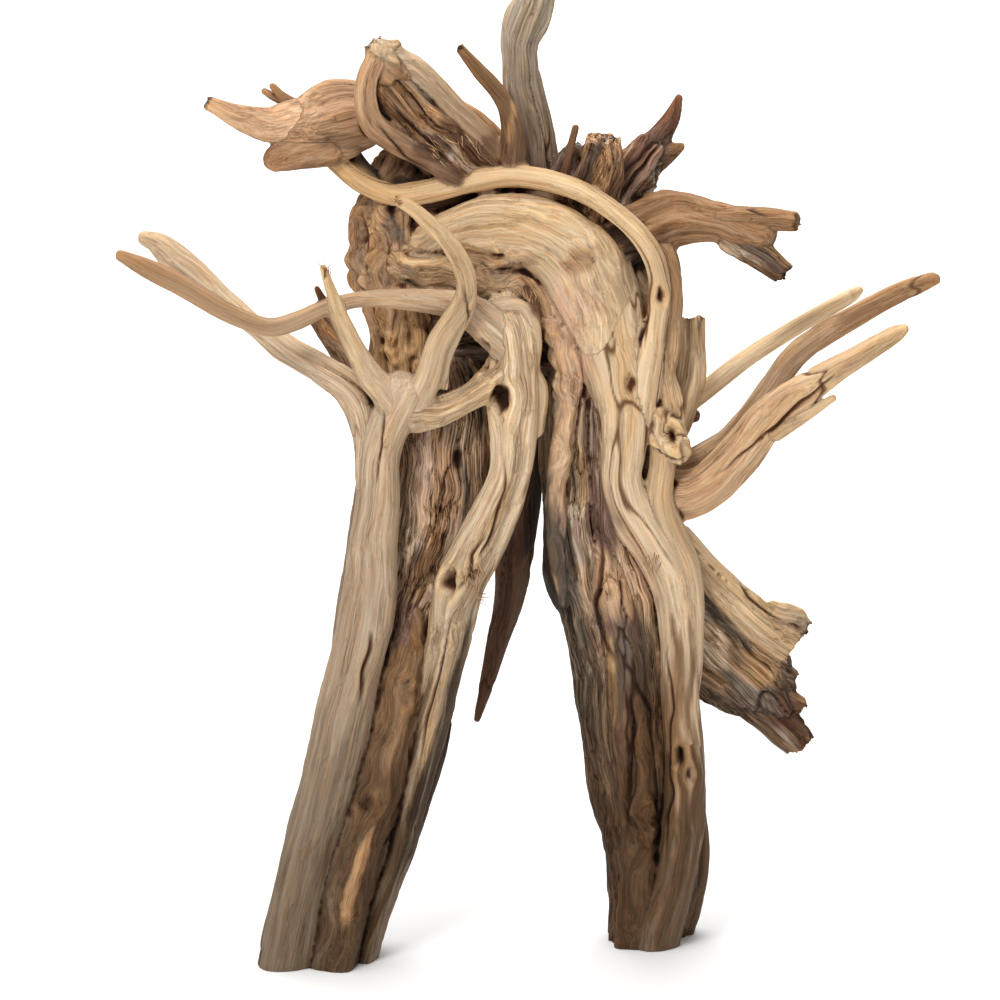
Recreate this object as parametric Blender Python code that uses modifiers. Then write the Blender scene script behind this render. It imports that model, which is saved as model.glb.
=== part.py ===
"""A piece of driftwood: old roots grown together into an arch that stands on two legs.

Each root is a loft between unlike sections, because its width, its depth and its flutes all change
along its route. The roots overlap, a voxel remesh fuses them into one skin, hollows are cut into that
skin, and a flat cut at the ground makes the two soles.

The routes are drawn on a plane that leans back a little, as the wood looks to someone who stands in
front of it and looks slightly down. A station on a route is
(right, up, back, half width, half depth), all in millimetres.
"""
import math

import bmesh
import bpy
import numpy as np

MM = 0.001
VIEW_TILT = math.radians(12.0)
CENTRE_RIGHT = 17.6            # where the middle of the finished wood lies on the drawing, in millimetres
CENTRE_BACK = 26.0
SOLE_CUT = 0.0                 # height of the flat soles
BLOCK_SIDE = 1.0               # side of the block that cuts them
SKIN_VOXEL = 1.6 * MM          # grid of the skin that fuses the roots
SKIN_SMOOTHING = 3             # passes that round the skin where roots join
FACE_SHARE = 0.0180            # share of the skin's faces that the finished solid keeps
RINGS_PER_SPAN = 6
SECTION_POINTS = 28
TOOTH_COUNT = 5                # splinters round a broken end
TOOTH_LENGTH = 6.0 * MM        # how far the longest splinter stands out of a broken end
TWIST = 9.0                    # turn of the flutes along a root, in radians a metre
WOBBLE = 0.06                  # share of the radius by which a root swells and shrinks unevenly
FINE_WOBBLE = 0.6              # the shorter wave's share of the longer one
LONG_WAVE = 22 * MM            # length scales of those two waves
SHORT_WAVE = 11 * MM
DOME_STEPS = (0.35, 0.7)       # how far out the rings of a rounded end lie, as shares of its height
DOME_HEIGHT = 0.8              # height of a rounded end, as a share of the root's radius
BROKEN_SINK = 0.35             # how far the middle of a broken end lies in, as a share of the radius
BROKEN_RIM = 0.92              # size of the ring of splinters beside the root's last section
BROKEN_MIDDLE = 0.45           # size of the sunk middle beside that section

WOOD_COLOUR = (0.52, 0.38, 0.24, 1.0)
WOOD_ROUGHNESS = 0.8

# Each root: flutes round its section, their depth as a share of the radius, how its far end finishes,
# and its route.
ROOTS = {
    # The left leg: ribs side by side round a core. Two of them run on over the back of the arch.
    "left_front_rib": (3, 0.06, "round", [
        (-56, 342, -12, 14, 13), (-70, 306, -8, 12, 14), (-73, 276, -6, 13, 16), (-76, 246, -6, 15, 18),
        (-78, 216, -6, 16, 19), (-84, 186, -6, 16, 19), (-94, 149, -8, 17, 19), (-104, 104, -10, 17, 19),
        (-114, 67, -12, 16, 19), (-126, 17, -14, 17, 20), (-133, -16, -14, 17, 20)]),
    "left_middle_rib": (4, 0.10, "round", [
        (-50, 222, 10, 8, 8), (-53, 190, 0, 11, 11), (-60, 158, -8, 13, 13), (-73, 104, -11, 14, 16),
        (-84, 67, -13, 14, 17), (-96, 17, -16, 14, 18), (-102, -16, -17, 14, 18)]),
    "middle_root": (5, 0.09, "round", [
        (0, 394, 4, 11, 10), (7, 381, 0, 14, 12), (10, 364, -2, 13, 14), (7, 345, -3, 15, 14),
        (8, 320, -4, 14, 14), (6, 292, -5, 12, 14), (-3, 268, -6, 13, 14), (-14, 245, -7, 14, 14),
        (-24, 226, -7, 14, 14), (-29, 205, -6, 13, 14), (-33, 183, -4, 12, 14), (-41, 149, -2, 11, 14),
        (-52, 104, 0, 10, 15), (-63, 65, 2, 9, 15), (-73, 36, 2, 9, 15), (-80, 14, 2, 9, 15),
        (-87, -16, 2, 9, 15)]),
    "left_core_and_panel": (6, 0.06, "round", [
        (-40, 360, 24, 16, 12), (-36, 345, 18, 26, 14), (-34, 320, 14, 30, 14), (-34, 290, 14, 30, 14),
        (-38, 262, 14, 26, 14), (-44, 235, 12, 20, 14), (-54, 205, 8, 14, 12), (-64, 160, 6, 20, 16),
        (-80, 100, 4, 22, 18), (-99, 30, 2, 24, 20), (-107, -16, 2, 24, 20)]),
    "inner_back_root": (5, 0.10, "round", [
        (-93, -16, 20, 11, 19), (-87, 4, 20, 11, 19), (-76, 35, 22, 11, 18), (-61, 75, 24, 12, 17),
        (-47, 120, 26, 12, 16), (-38, 170, 28, 12, 16), (-33, 215, 30, 15, 16), (-34, 255, 32, 21, 17),
        (-34, 300, 36, 21, 16), (-34, 345, 42, 19, 15), (-24, 385, 48, 18, 15), (0, 410, 54, 19, 16),
        (30, 408, 58, 19, 16), (54, 384, 61, 18, 15), (62, 345, 63, 18, 14), (62, 300, 65, 19, 14),
        (66, 245, 67, 19, 14), (75, 195, 69, 17, 14), (83, 145, 71, 15, 14), (92, 90, 74, 14, 14),
        (95, 40, 76, 13, 14), (93, -20, 78, 13, 14)]),
    "outer_back_root": (4, 0.10, "round", [
        (-127, -16, 14, 18, 20), (-121, 20, 14, 18, 20), (-112, 60, 14, 17, 19), (-103, 100, 16, 17, 18),
        (-93, 145, 18, 17, 18), (-84, 190, 20, 16, 18), (-78, 235, 22, 16, 18), (-74, 280, 24, 14, 16),
        (-70, 320, 28, 13, 14), (-66, 360, 34, 13, 13), (-60, 400, 40, 14, 14), (-42, 434, 46, 15, 15),
        (-14, 449, 50, 16, 15), (20, 449, 52, 17, 15), (52, 434, 52, 16, 15), (75, 406, 50, 15, 14),
        (85, 370, 50, 14, 14), (90, 325, 52, 13, 14), (92, 280, 54, 10, 12), (93, 245, 56, 7, 9)]),
    # The fork over the left leg
    "fork_prong": (3, 0.10, "round", [
        (-60, 326, -12, 11, 10), (-69, 340, -15, 9, 9), (-78, 350, -18, 8, 8), (-87, 366, -23, 6, 6),
        (-95, 385, -28, 4.5, 4.5), (-101, 402, -32, 3.2, 3.2), (-105, 414, -35, 2.2, 2.2)]),
    "fork_splinter": (3, 0.10, "round", [
        (-82, 356, -18, 6, 5), (-95, 376, -22, 3.6, 3.6), (-105, 394, -25, 2.8, 2.8),
        (-109, 402, -26, 2, 2)]),
    "fork_right_arm": (4, 0.12, "round", [
        (-64, 330, -10, 12, 11), (-48, 328, -12, 10, 10), (-32, 331, -13, 8, 9), (-15, 339, -11, 8, 9),
        (0, 350, -7, 10, 10), (8, 364, -2, 10, 10)]),
    "curved_branch": (3, 0.08, "broken", [
        (-54, 326, -13, 10, 9), (-44, 348, -18, 8, 7), (-38, 368, -23, 7, 6.5), (-31, 380, -27, 6.5, 6),
        (-23, 392, -31, 6.5, 6), (-20, 404, -34, 6, 5.5), (-24, 418, -37, 5.6, 5.2),
        (-32, 430, -39, 5.4, 5), (-42, 440, -40, 4.8, 4.4), (-51, 448, -40, 4.2, 4),
        (-61, 454, -39, 3.2, 3)]),
    "curved_branch_side": (3, 0.08, "round", [
        (-22, 416, -33, 3, 3), (-17, 402, -30, 3.4, 3.4), (-19, 388, -26, 3.4, 3.4), (-26, 373, -22, 3, 3),
        (-32, 358, -18, 3, 3), (-33, 343, -16, 2.4, 2.4)]),
    "head_twig": (3, 0.05, "round", [
        (-2, 392, -5, 4, 4), (12, 393, -8, 3, 3), (20, 384, -8, 3.2, 3.2), (22, 370, -6, 3.6, 3.6),
        (20, 354, -4, 4.5, 4.5), (23, 341, -2, 6, 6), (20, 318, -2, 6, 7)]),
    "head_prong": (3, 0.05, "round", [
        (22, 384, -7, 2.8, 2.8), (20, 394, -10, 2.6, 2.6), (15, 403, -12, 2.2, 2.2)]),
    # The left branches
    "left_long_branch": (3, 0.07, "round", [
        (-225, 421, -52, 3.5, 3.5), (-208, 413, -49, 6, 5.5), (-188, 403, -45, 6, 5.5),
        (-164, 389, -40, 6, 5.5), (-146, 381, -35, 5.5, 5.5), (-134, 379, -32, 5.5, 5),
        (-120, 383, -29, 5.5, 5), (-102, 391, -25, 5, 5), (-78, 396, -20, 5, 5), (-48, 395, -15, 7, 6),
        (-27, 392, -11, 9, 8), (-12, 384, -7, 11, 10), (4, 370, -3, 12, 12)]),
    "left_high_branch": (3, 0.10, "round", [
        (-213, 433, 34, 4.5, 4.5), (-203, 429, 31, 7, 6), (-191, 419, 28, 9, 7), (-177, 407, 24, 8.5, 7),
        (-160, 392, 18, 7, 6), (-146, 380, 14, 6, 6), (-130, 368, 9, 8, 7), (-106, 354, 3, 9, 8),
        (-87, 340, -2, 10, 9), (-79, 318, -5, 9, 9), (-79, 290, -6, 7, 9), (-80, 262, -5, 5, 8)]),
    "left_dark_stub": (5, 0.12, "broken", [
        (-66, 336, 26, 10, 10), (-81, 351, 32, 8, 8), (-95, 367, 36, 8, 7.5), (-110, 387, 39, 6, 5.5)]),
    # The column and the arch
    "knobby_column": (6, 0.12, "round", [
        (-60, 478, 24, 12, 12), (-65, 457, 20, 17, 16), (-67, 438, 18, 19, 18), (-66, 415, 18, 20, 19),
        (-62, 392, 18, 18, 17), (-57, 368, 18, 17, 16), (-54, 345, 18, 18, 16), (-52, 318, 20, 18, 14)]),
    "column_knob_high": (3, 0.08, "round", [
        (-68, 445, 14, 9, 9), (-78, 446, 12, 8, 8), (-82, 447, 12, 5, 5)]),
    "column_knob_low": (3, 0.08, "round", [
        (-66, 406, 14, 10, 9), (-76, 407, 12, 8, 8), (-81, 407, 12, 5, 5)]),
    "arch": (7, 0.05, "round", [
        (-72, 426, 22, 14, 12), (-54, 430, 20, 19, 17), (-30, 430, 19, 24, 21), (-4, 432, 21, 28, 24),
        (20, 430, 24, 30, 26), (42, 419, 28, 32, 27), (56, 398, 33, 32, 27), (62, 370, 36, 30, 26),
        (62, 345, 38, 30, 26)]),
    "arch_top_ridge": (3, 0.05, "round", [
        (-66, 424, 16, 8, 8), (-46, 429, 9, 11, 9), (-28, 436, 5, 14, 10), (-8, 441, 3, 17, 12),
        (14, 439, 3, 20, 13), (35, 429, 5, 23, 14), (50, 412, 7, 25, 15), (58, 393, 9, 23, 14),
        (62, 373, 10, 18, 12), (64, 352, 14, 13, 10), (66, 331, 20, 8, 8), (67, 313, 26, 5, 6)]),
    "arch_inner_ridge": (3, 0.08, "round", [
        (-70, 414, 16, 12, 10), (-54, 415, 9, 14, 12), (-32, 412, 7, 13, 12), (-8, 408, 7, 11, 11),
        (14, 402, 8, 9, 10), (30, 388, 9, 8, 9), (39, 364, 10, 8, 9), (40, 340, 12, 8, 9),
        (37, 306, 15, 6, 9), (33, 276, 18, 6, 9), (34, 246, 24, 5, 8), (38, 216, 32, 4, 7)]),
    "heartwood": (7, 0.08, "round", [
        (-50, 392, 30, 22, 16), (-20, 397, 36, 25, 18), (20, 396, 42, 27, 20), (50, 378, 44, 26, 20)]),
    "heartwood_low": (7, 0.08, "round", [
        (-44, 362, 32, 20, 15), (-5, 366, 38, 22, 16), (30, 356, 44, 21, 17), (52, 338, 44, 22, 18)]),
    # The right leg
    "right_leg_core": (7, 0.05, "round", [
        (62, 372, 36, 30, 26), (59, 345, 38, 31, 26), (57, 306, 40, 32, 26), (62, 249, 42, 35, 27),
        (72, 216, 44, 34, 27), (78, 179, 46, 34, 27), (79, 151, 48, 34, 27), (85, 114, 50, 32, 27),
        (91, 78, 52, 29, 27), (91, 41, 54, 26, 28), (87, 12, 56, 23, 28), (85, -20, 56, 23, 28)]),
    "ochre_rib": (3, 0.06, "round", [
        (58, 416, 16, 20, 14), (62, 394, 12, 24, 14), (67, 366, 12, 22, 14), (75, 336, 12, 17, 14),
        (74, 306, 12, 13, 14), (73, 288, 12, 12, 14), (81, 264, 13, 13, 14), (93, 246, 15, 13, 14),
        (104, 222, 18, 12, 14), (107, 192, 20, 11, 14), (108, 156, 22, 11, 14), (111, 120, 24, 12, 15),
        (110, 84, 27, 13, 15), (104, 48, 30, 13, 16), (95, 15, 34, 14, 17), (91, -20, 34, 14, 17)]),
    "right_side_strand": (3, 0.06, "round", [
        (100, 322, 14, 9, 9), (98, 298, 12, 8, 9), (96, 276, 12, 8, 10), (103, 256, 14, 9, 10),
        (112, 236, 17, 8, 11), (116, 210, 22, 7, 12), (116, 178, 26, 6, 12), (114, 150, 30, 4, 10)]),
    "knotty_middle_rib": (4, 0.12, "round", [
        (56, 276, 34, 8, 8), (62, 248, 26, 13, 11), (68, 222, 24, 15, 12), (76, 190, 24, 14, 12),
        (79, 156, 25, 13, 12), (83, 112, 27, 12, 13), (85, 70, 30, 11, 14), (82, 30, 34, 11, 14),
        (80, -20, 36, 11, 14)]),
    "right_dark_back_rib": (3, 0.08, "round", [
        (106, 140, 54, 5, 10), (115, 112, 60, 7, 12), (119, 84, 64, 7, 12), (120, 60, 66, 7, 12),
        (115, 30, 68, 7, 12), (108, 5, 70, 7, 12), (104, -20, 70, 7, 12)]),
    "right_shoulder": (3, 0.08, "round", [
        (86, 438, 26, 12, 12), (97, 423, 22, 9, 10), (102, 396, 20, 8, 10), (100, 372, 18, 8, 10),
        (96, 350, 16, 9, 10), (100, 334, 15, 9, 10), (102, 316, 15, 10, 10)]),
    "pale_lump": (3, 0.08, "round", [
        (94, 326, 10, 8, 8), (101, 315, 8, 11, 10), (106, 305, 9, 9, 9)]),
    "strap_root": (2, 0.05, "round", [
        (-98, 478, 2, 6, 6), (-82, 465, 0, 6, 5.5), (-63, 458, 0, 6.5, 5.5), (-42, 460, 2, 7, 5.5),
        (-18, 466, 6, 7, 5.5), (6, 469, 8, 6.5, 5.5), (30, 466, 5, 6.5, 5.5), (54, 457, 0, 6, 5.5),
        (78, 439, -4, 6, 6), (91, 421, -2, 6.5, 6), (95, 400, 2, 7, 6), (92, 376, 3, 7, 6.5),
        (89, 350, 5, 8, 7), (86, 324, 9, 7, 7)]),
    # The top: horn, cut stub, tall stub and short stubs
    "horn_limb": (5, 0.06, "round", [
        (-38, 492, 24, 13, 13), (-66, 504, 12, 15, 15), (-86, 504, 5, 21, 18), (-100, 501, 0, 24, 19),
        (-112, 498, -4, 21, 17), (-122, 496, -7, 16, 13), (-130, 495, -10, 11, 10)]),
    "horn": (3, 0.06, "broken", [
        (-106, 503, -2, 15, 12), (-124, 500, -8, 12, 11), (-138, 498, -14, 10, 9), (-155, 503, -21, 7.5, 7),
        (-166, 508, -26, 5.5, 5.5), (-173, 511, -28, 4.5, 4.5)]),
    "horn_lower_lobe": (3, 0.08, "round", [
        (-104, 489, -3, 16, 13), (-119, 484, -8, 13, 11), (-129, 480, -11, 10, 9), (-134, 478, -13, 8, 8)]),
    "horn_back_prong": (3, 0.05, "round", [
        (-100, 500, 12, 8, 8), (-121, 510, 22, 3.6, 3.6), (-134, 516, 28, 2.8, 2.8),
        (-141, 520, 31, 2.2, 2.2)]),
    "horn_back_splinter": (3, 0.05, "round", [
        (-114, 506, 18, 4.5, 4.5), (-129, 516, 22, 3, 3), (-136, 523, 24, 2.2, 2.2)]),
    "cut_stub": (7, 0.13, "round", [
        (12, 450, 28, 15, 14), (-4, 464, 24, 18, 15), (-24, 481, 16, 20, 16), (-45, 499, 6, 21, 15),
        (-58, 513, -2, 19, 13), (-66, 523, -6, 16, 11)]),
    "cut_stub_rim": (3, 0.12, "round", [
        (-20, 466, 10, 8, 8), (-42, 478, -1, 7, 8), (-60, 487, -9, 7, 8), (-75, 498, -15, 7, 8),
        (-80, 512, -19, 6.5, 7), (-79, 526, -20, 6, 6.5), (-74, 537, -19, 6, 6)]),
    "cut_stub_top_rim": (3, 0.12, "round", [
        (2, 480, 16, 7, 7), (-12, 494, 9, 6, 6.5), (-26, 508, 3, 6, 6.5), (-40, 523, -4, 6, 6.5),
        (-52, 533, -9, 7, 7), (-64, 538, -13, 8, 8)]),
    "cut_stub_tip": (5, 0.16, "broken", [
        (-60, 530, -10, 9, 8), (-67, 537, -13, 10, 9), (-73, 543, -16, 8, 8), (-76, 547, -17, 6, 6)]),
    "root_behind_stub": (4, 0.08, "round", [
        (-27, 510, 32, 6, 6), (-14, 500, 28, 8, 8), (-2, 484, 26, 10, 9), (6, 462, 28, 12, 10)]),
    "thin_horn": (3, 0.08, "broken", [
        (8, 456, 22, 10, 9), (8, 479, 12, 8, 7), (6, 501, 4, 6, 6), (0, 516, -2, 5, 5),
        (-12, 530, -8, 4.5, 4.5), (-24, 544, -14, 3, 3)]),
    "tall_stub": (5, 0.12, "broken", [
        (24, 448, 30, 16, 14), (21, 474, 30, 14, 12), (20, 492, 31, 12, 11), (17, 507, 33, 11, 11),
        (13, 522, 35, 11, 10), (12, 538, 38, 10, 10), (12, 550, 41, 11, 10), (16, 562, 44, 13, 10),
        (21, 574, 47, 11, 9), (24, 581, 48, 9, 8)]),
    "thin_twig": (2, 0.05, "round", [
        (37, 454, 24, 6, 6), (39, 472, 14, 2.8, 2.8), (42, 486, 9, 2.4, 2.4), (45, 498, 5, 2.2, 2.2)]),
    "red_stub": (5, 0.14, "broken", [
        (52, 440, 30, 14, 12), (56, 460, 20, 14, 12), (60, 478, 12, 12, 10), (61, 490, 8, 10, 8)]),
    "grey_stub": (4, 0.14, "broken", [
        (32, 440, 32, 13, 12), (37, 460, 26, 12, 11), (42, 476, 22, 9, 8), (46, 487, 20, 5, 5)]),
    "right_top_stub": (5, 0.12, "round", [
        (64, 448, 34, 14, 12), (80, 474, 40, 13, 10), (91, 487, 45, 10, 8)]),
    "right_top_stub_high_tip": (3, 0.10, "round", [
        (85, 480, 42, 9, 7), (96, 496, 48, 6.5, 5.5), (103, 507, 52, 5, 4), (107, 517, 56, 2.4, 2.4)]),
    "right_top_stub_low_tip": (3, 0.10, "round", [
        (85, 476, 42, 9, 6), (100, 484, 47, 6, 5), (109, 488, 50, 2.4, 2.4)]),
    "right_top_branch": (5, 0.08, "round", [
        (70, 430, 30, 22, 18), (100, 445, 22, 17, 14), (126, 443, 12, 12, 11), (144, 437, 4, 13, 10),
        (157, 433, -1, 12, 9)]),
    "right_top_branch_high_end": (3, 0.12, "broken", [
        (134, 444, 8, 8, 8), (158, 444, -2, 7, 7), (176, 442, -9, 5.5, 5.5)]),
    "right_top_branch_low_end": (3, 0.12, "broken", [
        (138, 434, 6, 10, 8), (156, 423, -2, 8, 7), (169, 412, -7, 6.5, 6)]),
    # The right side: flat stub, three branches and a broken slab
    "flat_stub": (5, 0.12, "broken", [
        (86, 300, 36, 10, 10), (102, 315, 36, 8, 8), (109, 330, 38, 8, 8), (114, 350, 40, 9, 7),
        (115, 370, 42, 8, 6), (115, 385, 44, 8, 5)]),
    "flat_stub_knob": (3, 0.08, "round", [
        (96, 320, 46, 9, 9), (110, 326, 52, 7, 6), (117, 327, 54, 4, 4)]),
    "high_branch": (3, 0.08, "round", [
        (80, 314, 48, 10, 10), (103, 330, 56, 7, 7), (119, 339, 61, 6, 6), (149, 362, 70, 5.5, 5.5),
        (179, 381, 78, 5, 5), (209, 398, 86, 4.5, 4.5), (217, 403, 89, 2.6, 2.6)]),
    "middle_branch": (3, 0.12, "round", [
        (76, 280, 40, 12, 11), (101, 291, 36, 9, 9), (119, 300, 33, 9, 9), (141, 316, 30, 8, 8),
        (162, 343, 26, 7, 7), (180, 366, 23, 7, 7), (210, 385, 20, 6.5, 6), (239, 400, 17, 6, 6),
        (256, 407, 15, 4.5, 4.5), (261, 408, 15, 3, 3)]),
    "low_branch": (4, 0.10, "round", [
        (84, 280, 32, 14, 13), (106, 278, 24, 14, 12), (125, 285, 15, 13, 11), (142, 302, 6, 12, 10),
        (163, 328, -3, 10.5, 9), (190, 347, -12, 8, 8), (214, 362, -20, 6.5, 6), (234, 374, -26, 5, 5),
        (241, 378, -28, 2.6, 2.6)]),
    "low_branch_splinter": (2, 0.05, "round", [
        (164, 318, -3, 7, 6), (183, 327, -9, 3.6, 3.6), (199, 337, -13, 2.2, 2.2)]),
    "slab_rib": (3, 0.12, "broken", [
        (94, 264, 36, 11, 10), (114, 247, 40, 9, 9), (134, 225, 43, 10, 9), (151, 208, 47, 12, 9),
        (165, 197, 50, 13, 9), (176, 189, 52, 12, 8)]),
    "slab_rib_knob": (4, 0.16, "broken", [
        (164, 207, 47, 7, 7), (176, 205, 47, 6.5, 6.5), (184, 198, 48, 6, 6)]),
    "slab": (7, 0.08, "round", [
        (88, 226, 48, 26, 14), (114, 204, 52, 31, 14), (134, 186, 55, 32, 13), (150, 171, 58, 28, 12),
        (161, 160, 60, 20, 11), (169, 150, 62, 12, 9)]),
    "slab_high_lobe": (3, 0.12, "broken", [
        (152, 184, 57, 9, 8), (166, 175, 59, 8, 7), (177, 168, 60, 6, 6)]),
    "slab_low_lobe": (3, 0.12, "broken", [
        (156, 166, 60, 9, 8), (171, 158, 61, 7, 7), (183, 152, 62, 5, 5)]),
    "slab_tip": (4, 0.12, "broken", [
        (154, 156, 60, 12, 9), (166, 145, 62, 11, 8), (176, 135, 64, 10.5, 8), (182, 128, 65, 9, 7)]),
    "dark_spike": (4, 0.12, "round", [
        (20, 345, 50, 20, 14), (13, 300, 56, 14, 12), (9, 250, 60, 11, 10), (6, 219, 61, 8.5, 8),
        (-1, 192, 62, 6.5, 6), (-8, 165, 62, 4.4, 4.4), (-14, 143, 62, 2.2, 2.2)]),
    # Roots behind, which the front hides
    "back_high_stub": (5, 0.12, "broken", [
        (4, 430, 50, 13, 13), (12, 438, 68, 11, 10), (20, 446, 84, 9, 8), (26, 452, 96, 8, 7)]),
    "back_left_root": (3, 0.10, "round", [
        (-36, 390, 44, 13, 12), (-50, 362, 60, 9, 9), (-62, 326, 71, 7, 7), (-70, 286, 78, 5, 5),
        (-73, 258, 82, 2.6, 2.6)]),
    "back_right_root": (3, 0.10, "round", [
        (66, 370, 62, 13, 12), (75, 338, 80, 9, 9), (82, 300, 93, 7, 7), (85, 262, 101, 5, 5),
        (84, 236, 105, 2.6, 2.6)]),
}

HOLLOW_FLUTES = 3

# Knot holes and rotted pockets that are cut into the skin, with stations as above
HOLLOWS = {
    "middle_root_hollow": [(6, 346, -20, 3, 7), (1, 336, -19, 5, 9), (-4, 327, -19, 2.5, 6)],
    "low_knot_hole": [(-35, 234, -22, 2, 7), (-31, 226, -21, 4, 9), (-28, 218, -22, 2, 7)],
    "panel_hole": [(-23, 308, -2, 3, 7), (-26, 300, -2, 4, 9), (-29, 291, -2, 2.5, 7)],
    "foot_knot_hole": [(107, 129, 7, 2.5, 8), (108, 122, 7, 4, 10), (109, 115, 7, 2.5, 8)],
}


def smooth_route(stations, rings_per_span):
    """Read a Catmull-Rom curve through the stations: each span is a cubic through its two ends,
    with the chord between their neighbours as the slope."""
    points = np.array(stations, dtype=float)
    padded = np.vstack([2 * points[0] - points[1], points, 2 * points[-1] - points[-2]])
    step = np.arange(rings_per_span) / rings_per_span
    t = step[None, :, None]
    before, start, end, after = (padded[k:len(padded) - 3 + k, None, :] for k in range(4))
    curve = 0.5 * (2 * start + (end - before) * t
                   + (2 * before - 5 * start + 4 * end - after) * t ** 2
                   + (3 * start - before - 3 * end + after) * t ** 3)
    return np.vstack([curve.reshape(-1, points.shape[1]), points[-1]])


def to_world(route):
    """Turn places on the leaning plane into world places: height is what is left of the distance up
    the plane once the distance back has taken its share."""
    right, up, back = route[:, 0], route[:, 1], route[:, 2]
    height = (up - back * math.sin(VIEW_TILT)) / math.cos(VIEW_TILT)
    return np.stack([right - CENTRE_RIGHT, back - CENTRE_BACK, height], axis=1) * MM


def unit(vectors):
    """Scale each vector to a length of one."""
    return vectors / np.linalg.norm(vectors, axis=-1, keepdims=True)


def route_frames(centres):
    """Give each ring its direction, and its across and depth axes. Depth is the world's Y with the
    part along the route taken out."""
    along = unit(np.gradient(centres, axis=0))
    depth = np.array([0.0, 1.0, 0.0]) - along[:, 1:2] * along
    depth = unit(depth)
    across = np.cross(depth, along)
    return along, across, depth


def loft(stations, flutes, flute_depth, far_end):
    """Carry a fluted oval along a route and close both ends.

    A ring's radius is 1 + flute_depth * cos(flutes * angle + twist), plus two slow waves along and
    round the root that make it uneven, times the half width across and the half depth front to back.
    The near end closes in a dome. A broken far end has its rim pushed out in teeth and its middle
    sunk, and a round one closes in a dome.
    """
    route = smooth_route(stations, RINGS_PER_SPAN)
    centres = to_world(route)
    along, across, depth = route_frames(centres)
    half_width, half_depth = route[:, 3] * MM, route[:, 4] * MM
    travelled = np.concatenate([[0], np.cumsum(np.linalg.norm(np.diff(centres, axis=0), axis=1))])

    angle = np.arange(SECTION_POINTS) * 2 * math.pi / SECTION_POINTS
    along_root = travelled[:, None]
    phase = 0.37 * stations[0][0] + 0.21 * stations[0][1]
    swell = (1 + flute_depth * np.cos(flutes * angle + along_root * TWIST)
             + WOBBLE * np.sin(along_root / LONG_WAVE + phase) * np.cos(angle + phase)
             + WOBBLE * FINE_WOBBLE * np.sin(along_root / SHORT_WAVE + 2 * phase)
             * np.cos(2 * angle - phase))
    rings = (centres[:, None, :]
             + across[:, None, :] * (half_width[:, None] * swell * np.cos(angle))[:, :, None]
             + depth[:, None, :] * (half_depth[:, None] * swell * np.sin(angle))[:, :, None])

    def dome(ring, centre, outward, radius):
        return [centre + (ring - centre) * math.sqrt(1 - step * step)
                + outward * radius * step * DOME_HEIGHT for step in DOME_STEPS]

    near_radius = min(half_width[0], half_depth[0])
    near = dome(rings[0], centres[0], -along[0], near_radius)
    far_radius = min(half_width[-1], half_depth[-1])
    if far_end == "broken":
        tooth = np.abs(np.sin(TOOTH_COUNT * angle / 2 + stations[-1][0]))
        rim = rings[-1] + along[-1] * (TOOTH_LENGTH * tooth)[:, None]
        middle = centres[-1] - along[-1] * far_radius * BROKEN_SINK
        far = [centres[-1] + (rim - centres[-1]) * BROKEN_RIM,
               middle + (rings[-1] - centres[-1]) * BROKEN_MIDDLE]
        far_pole = middle
    else:
        far = dome(rings[-1], centres[-1], along[-1], far_radius)
        far_pole = centres[-1] + along[-1] * far_radius * DOME_HEIGHT
    near_pole = centres[0] - along[0] * near_radius * DOME_HEIGHT
    skin = np.concatenate([np.array(near[::-1]), rings, np.array(far)])
    return close_tube(skin, near_pole, far_pole)


def close_tube(rings, near_pole, far_pole):
    """Join rings into a closed tube: quads between neighbouring rings and a fan at each pole."""
    ring_count, points = rings.shape[:2]
    vertices = np.vstack([rings.reshape(-1, 3), near_pole, far_pole])
    index = np.arange(ring_count * points).reshape(ring_count, points)
    after = np.roll(index, -1, axis=1)
    quads = np.stack([index[:-1], after[:-1], after[1:], index[1:]], axis=-1).reshape(-1, 4)
    near_fan = np.stack([after[0], index[0], np.full(points, len(vertices) - 2)], axis=-1)
    far_fan = np.stack([index[-1], after[-1], np.full(points, len(vertices) - 1)], axis=-1)
    return vertices.tolist(), quads.tolist() + near_fan.tolist() + far_fan.tolist()


def joined_mesh(name, tubes):
    """Put closed tubes into one mesh, with the faces of each turned outwards."""
    vertices, faces = [], []
    for tube_vertices, tube_faces in tubes:
        start = len(vertices)
        vertices += tube_vertices
        faces += [[corner + start for corner in face] for face in tube_faces]
    mesh = bpy.data.meshes.new(name)
    mesh.from_pydata(vertices, [], faces)
    work = bmesh.new()
    work.from_mesh(mesh)
    bmesh.ops.recalc_face_normals(work, faces=work.faces)
    work.to_mesh(mesh)
    work.free()
    return mesh


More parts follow.
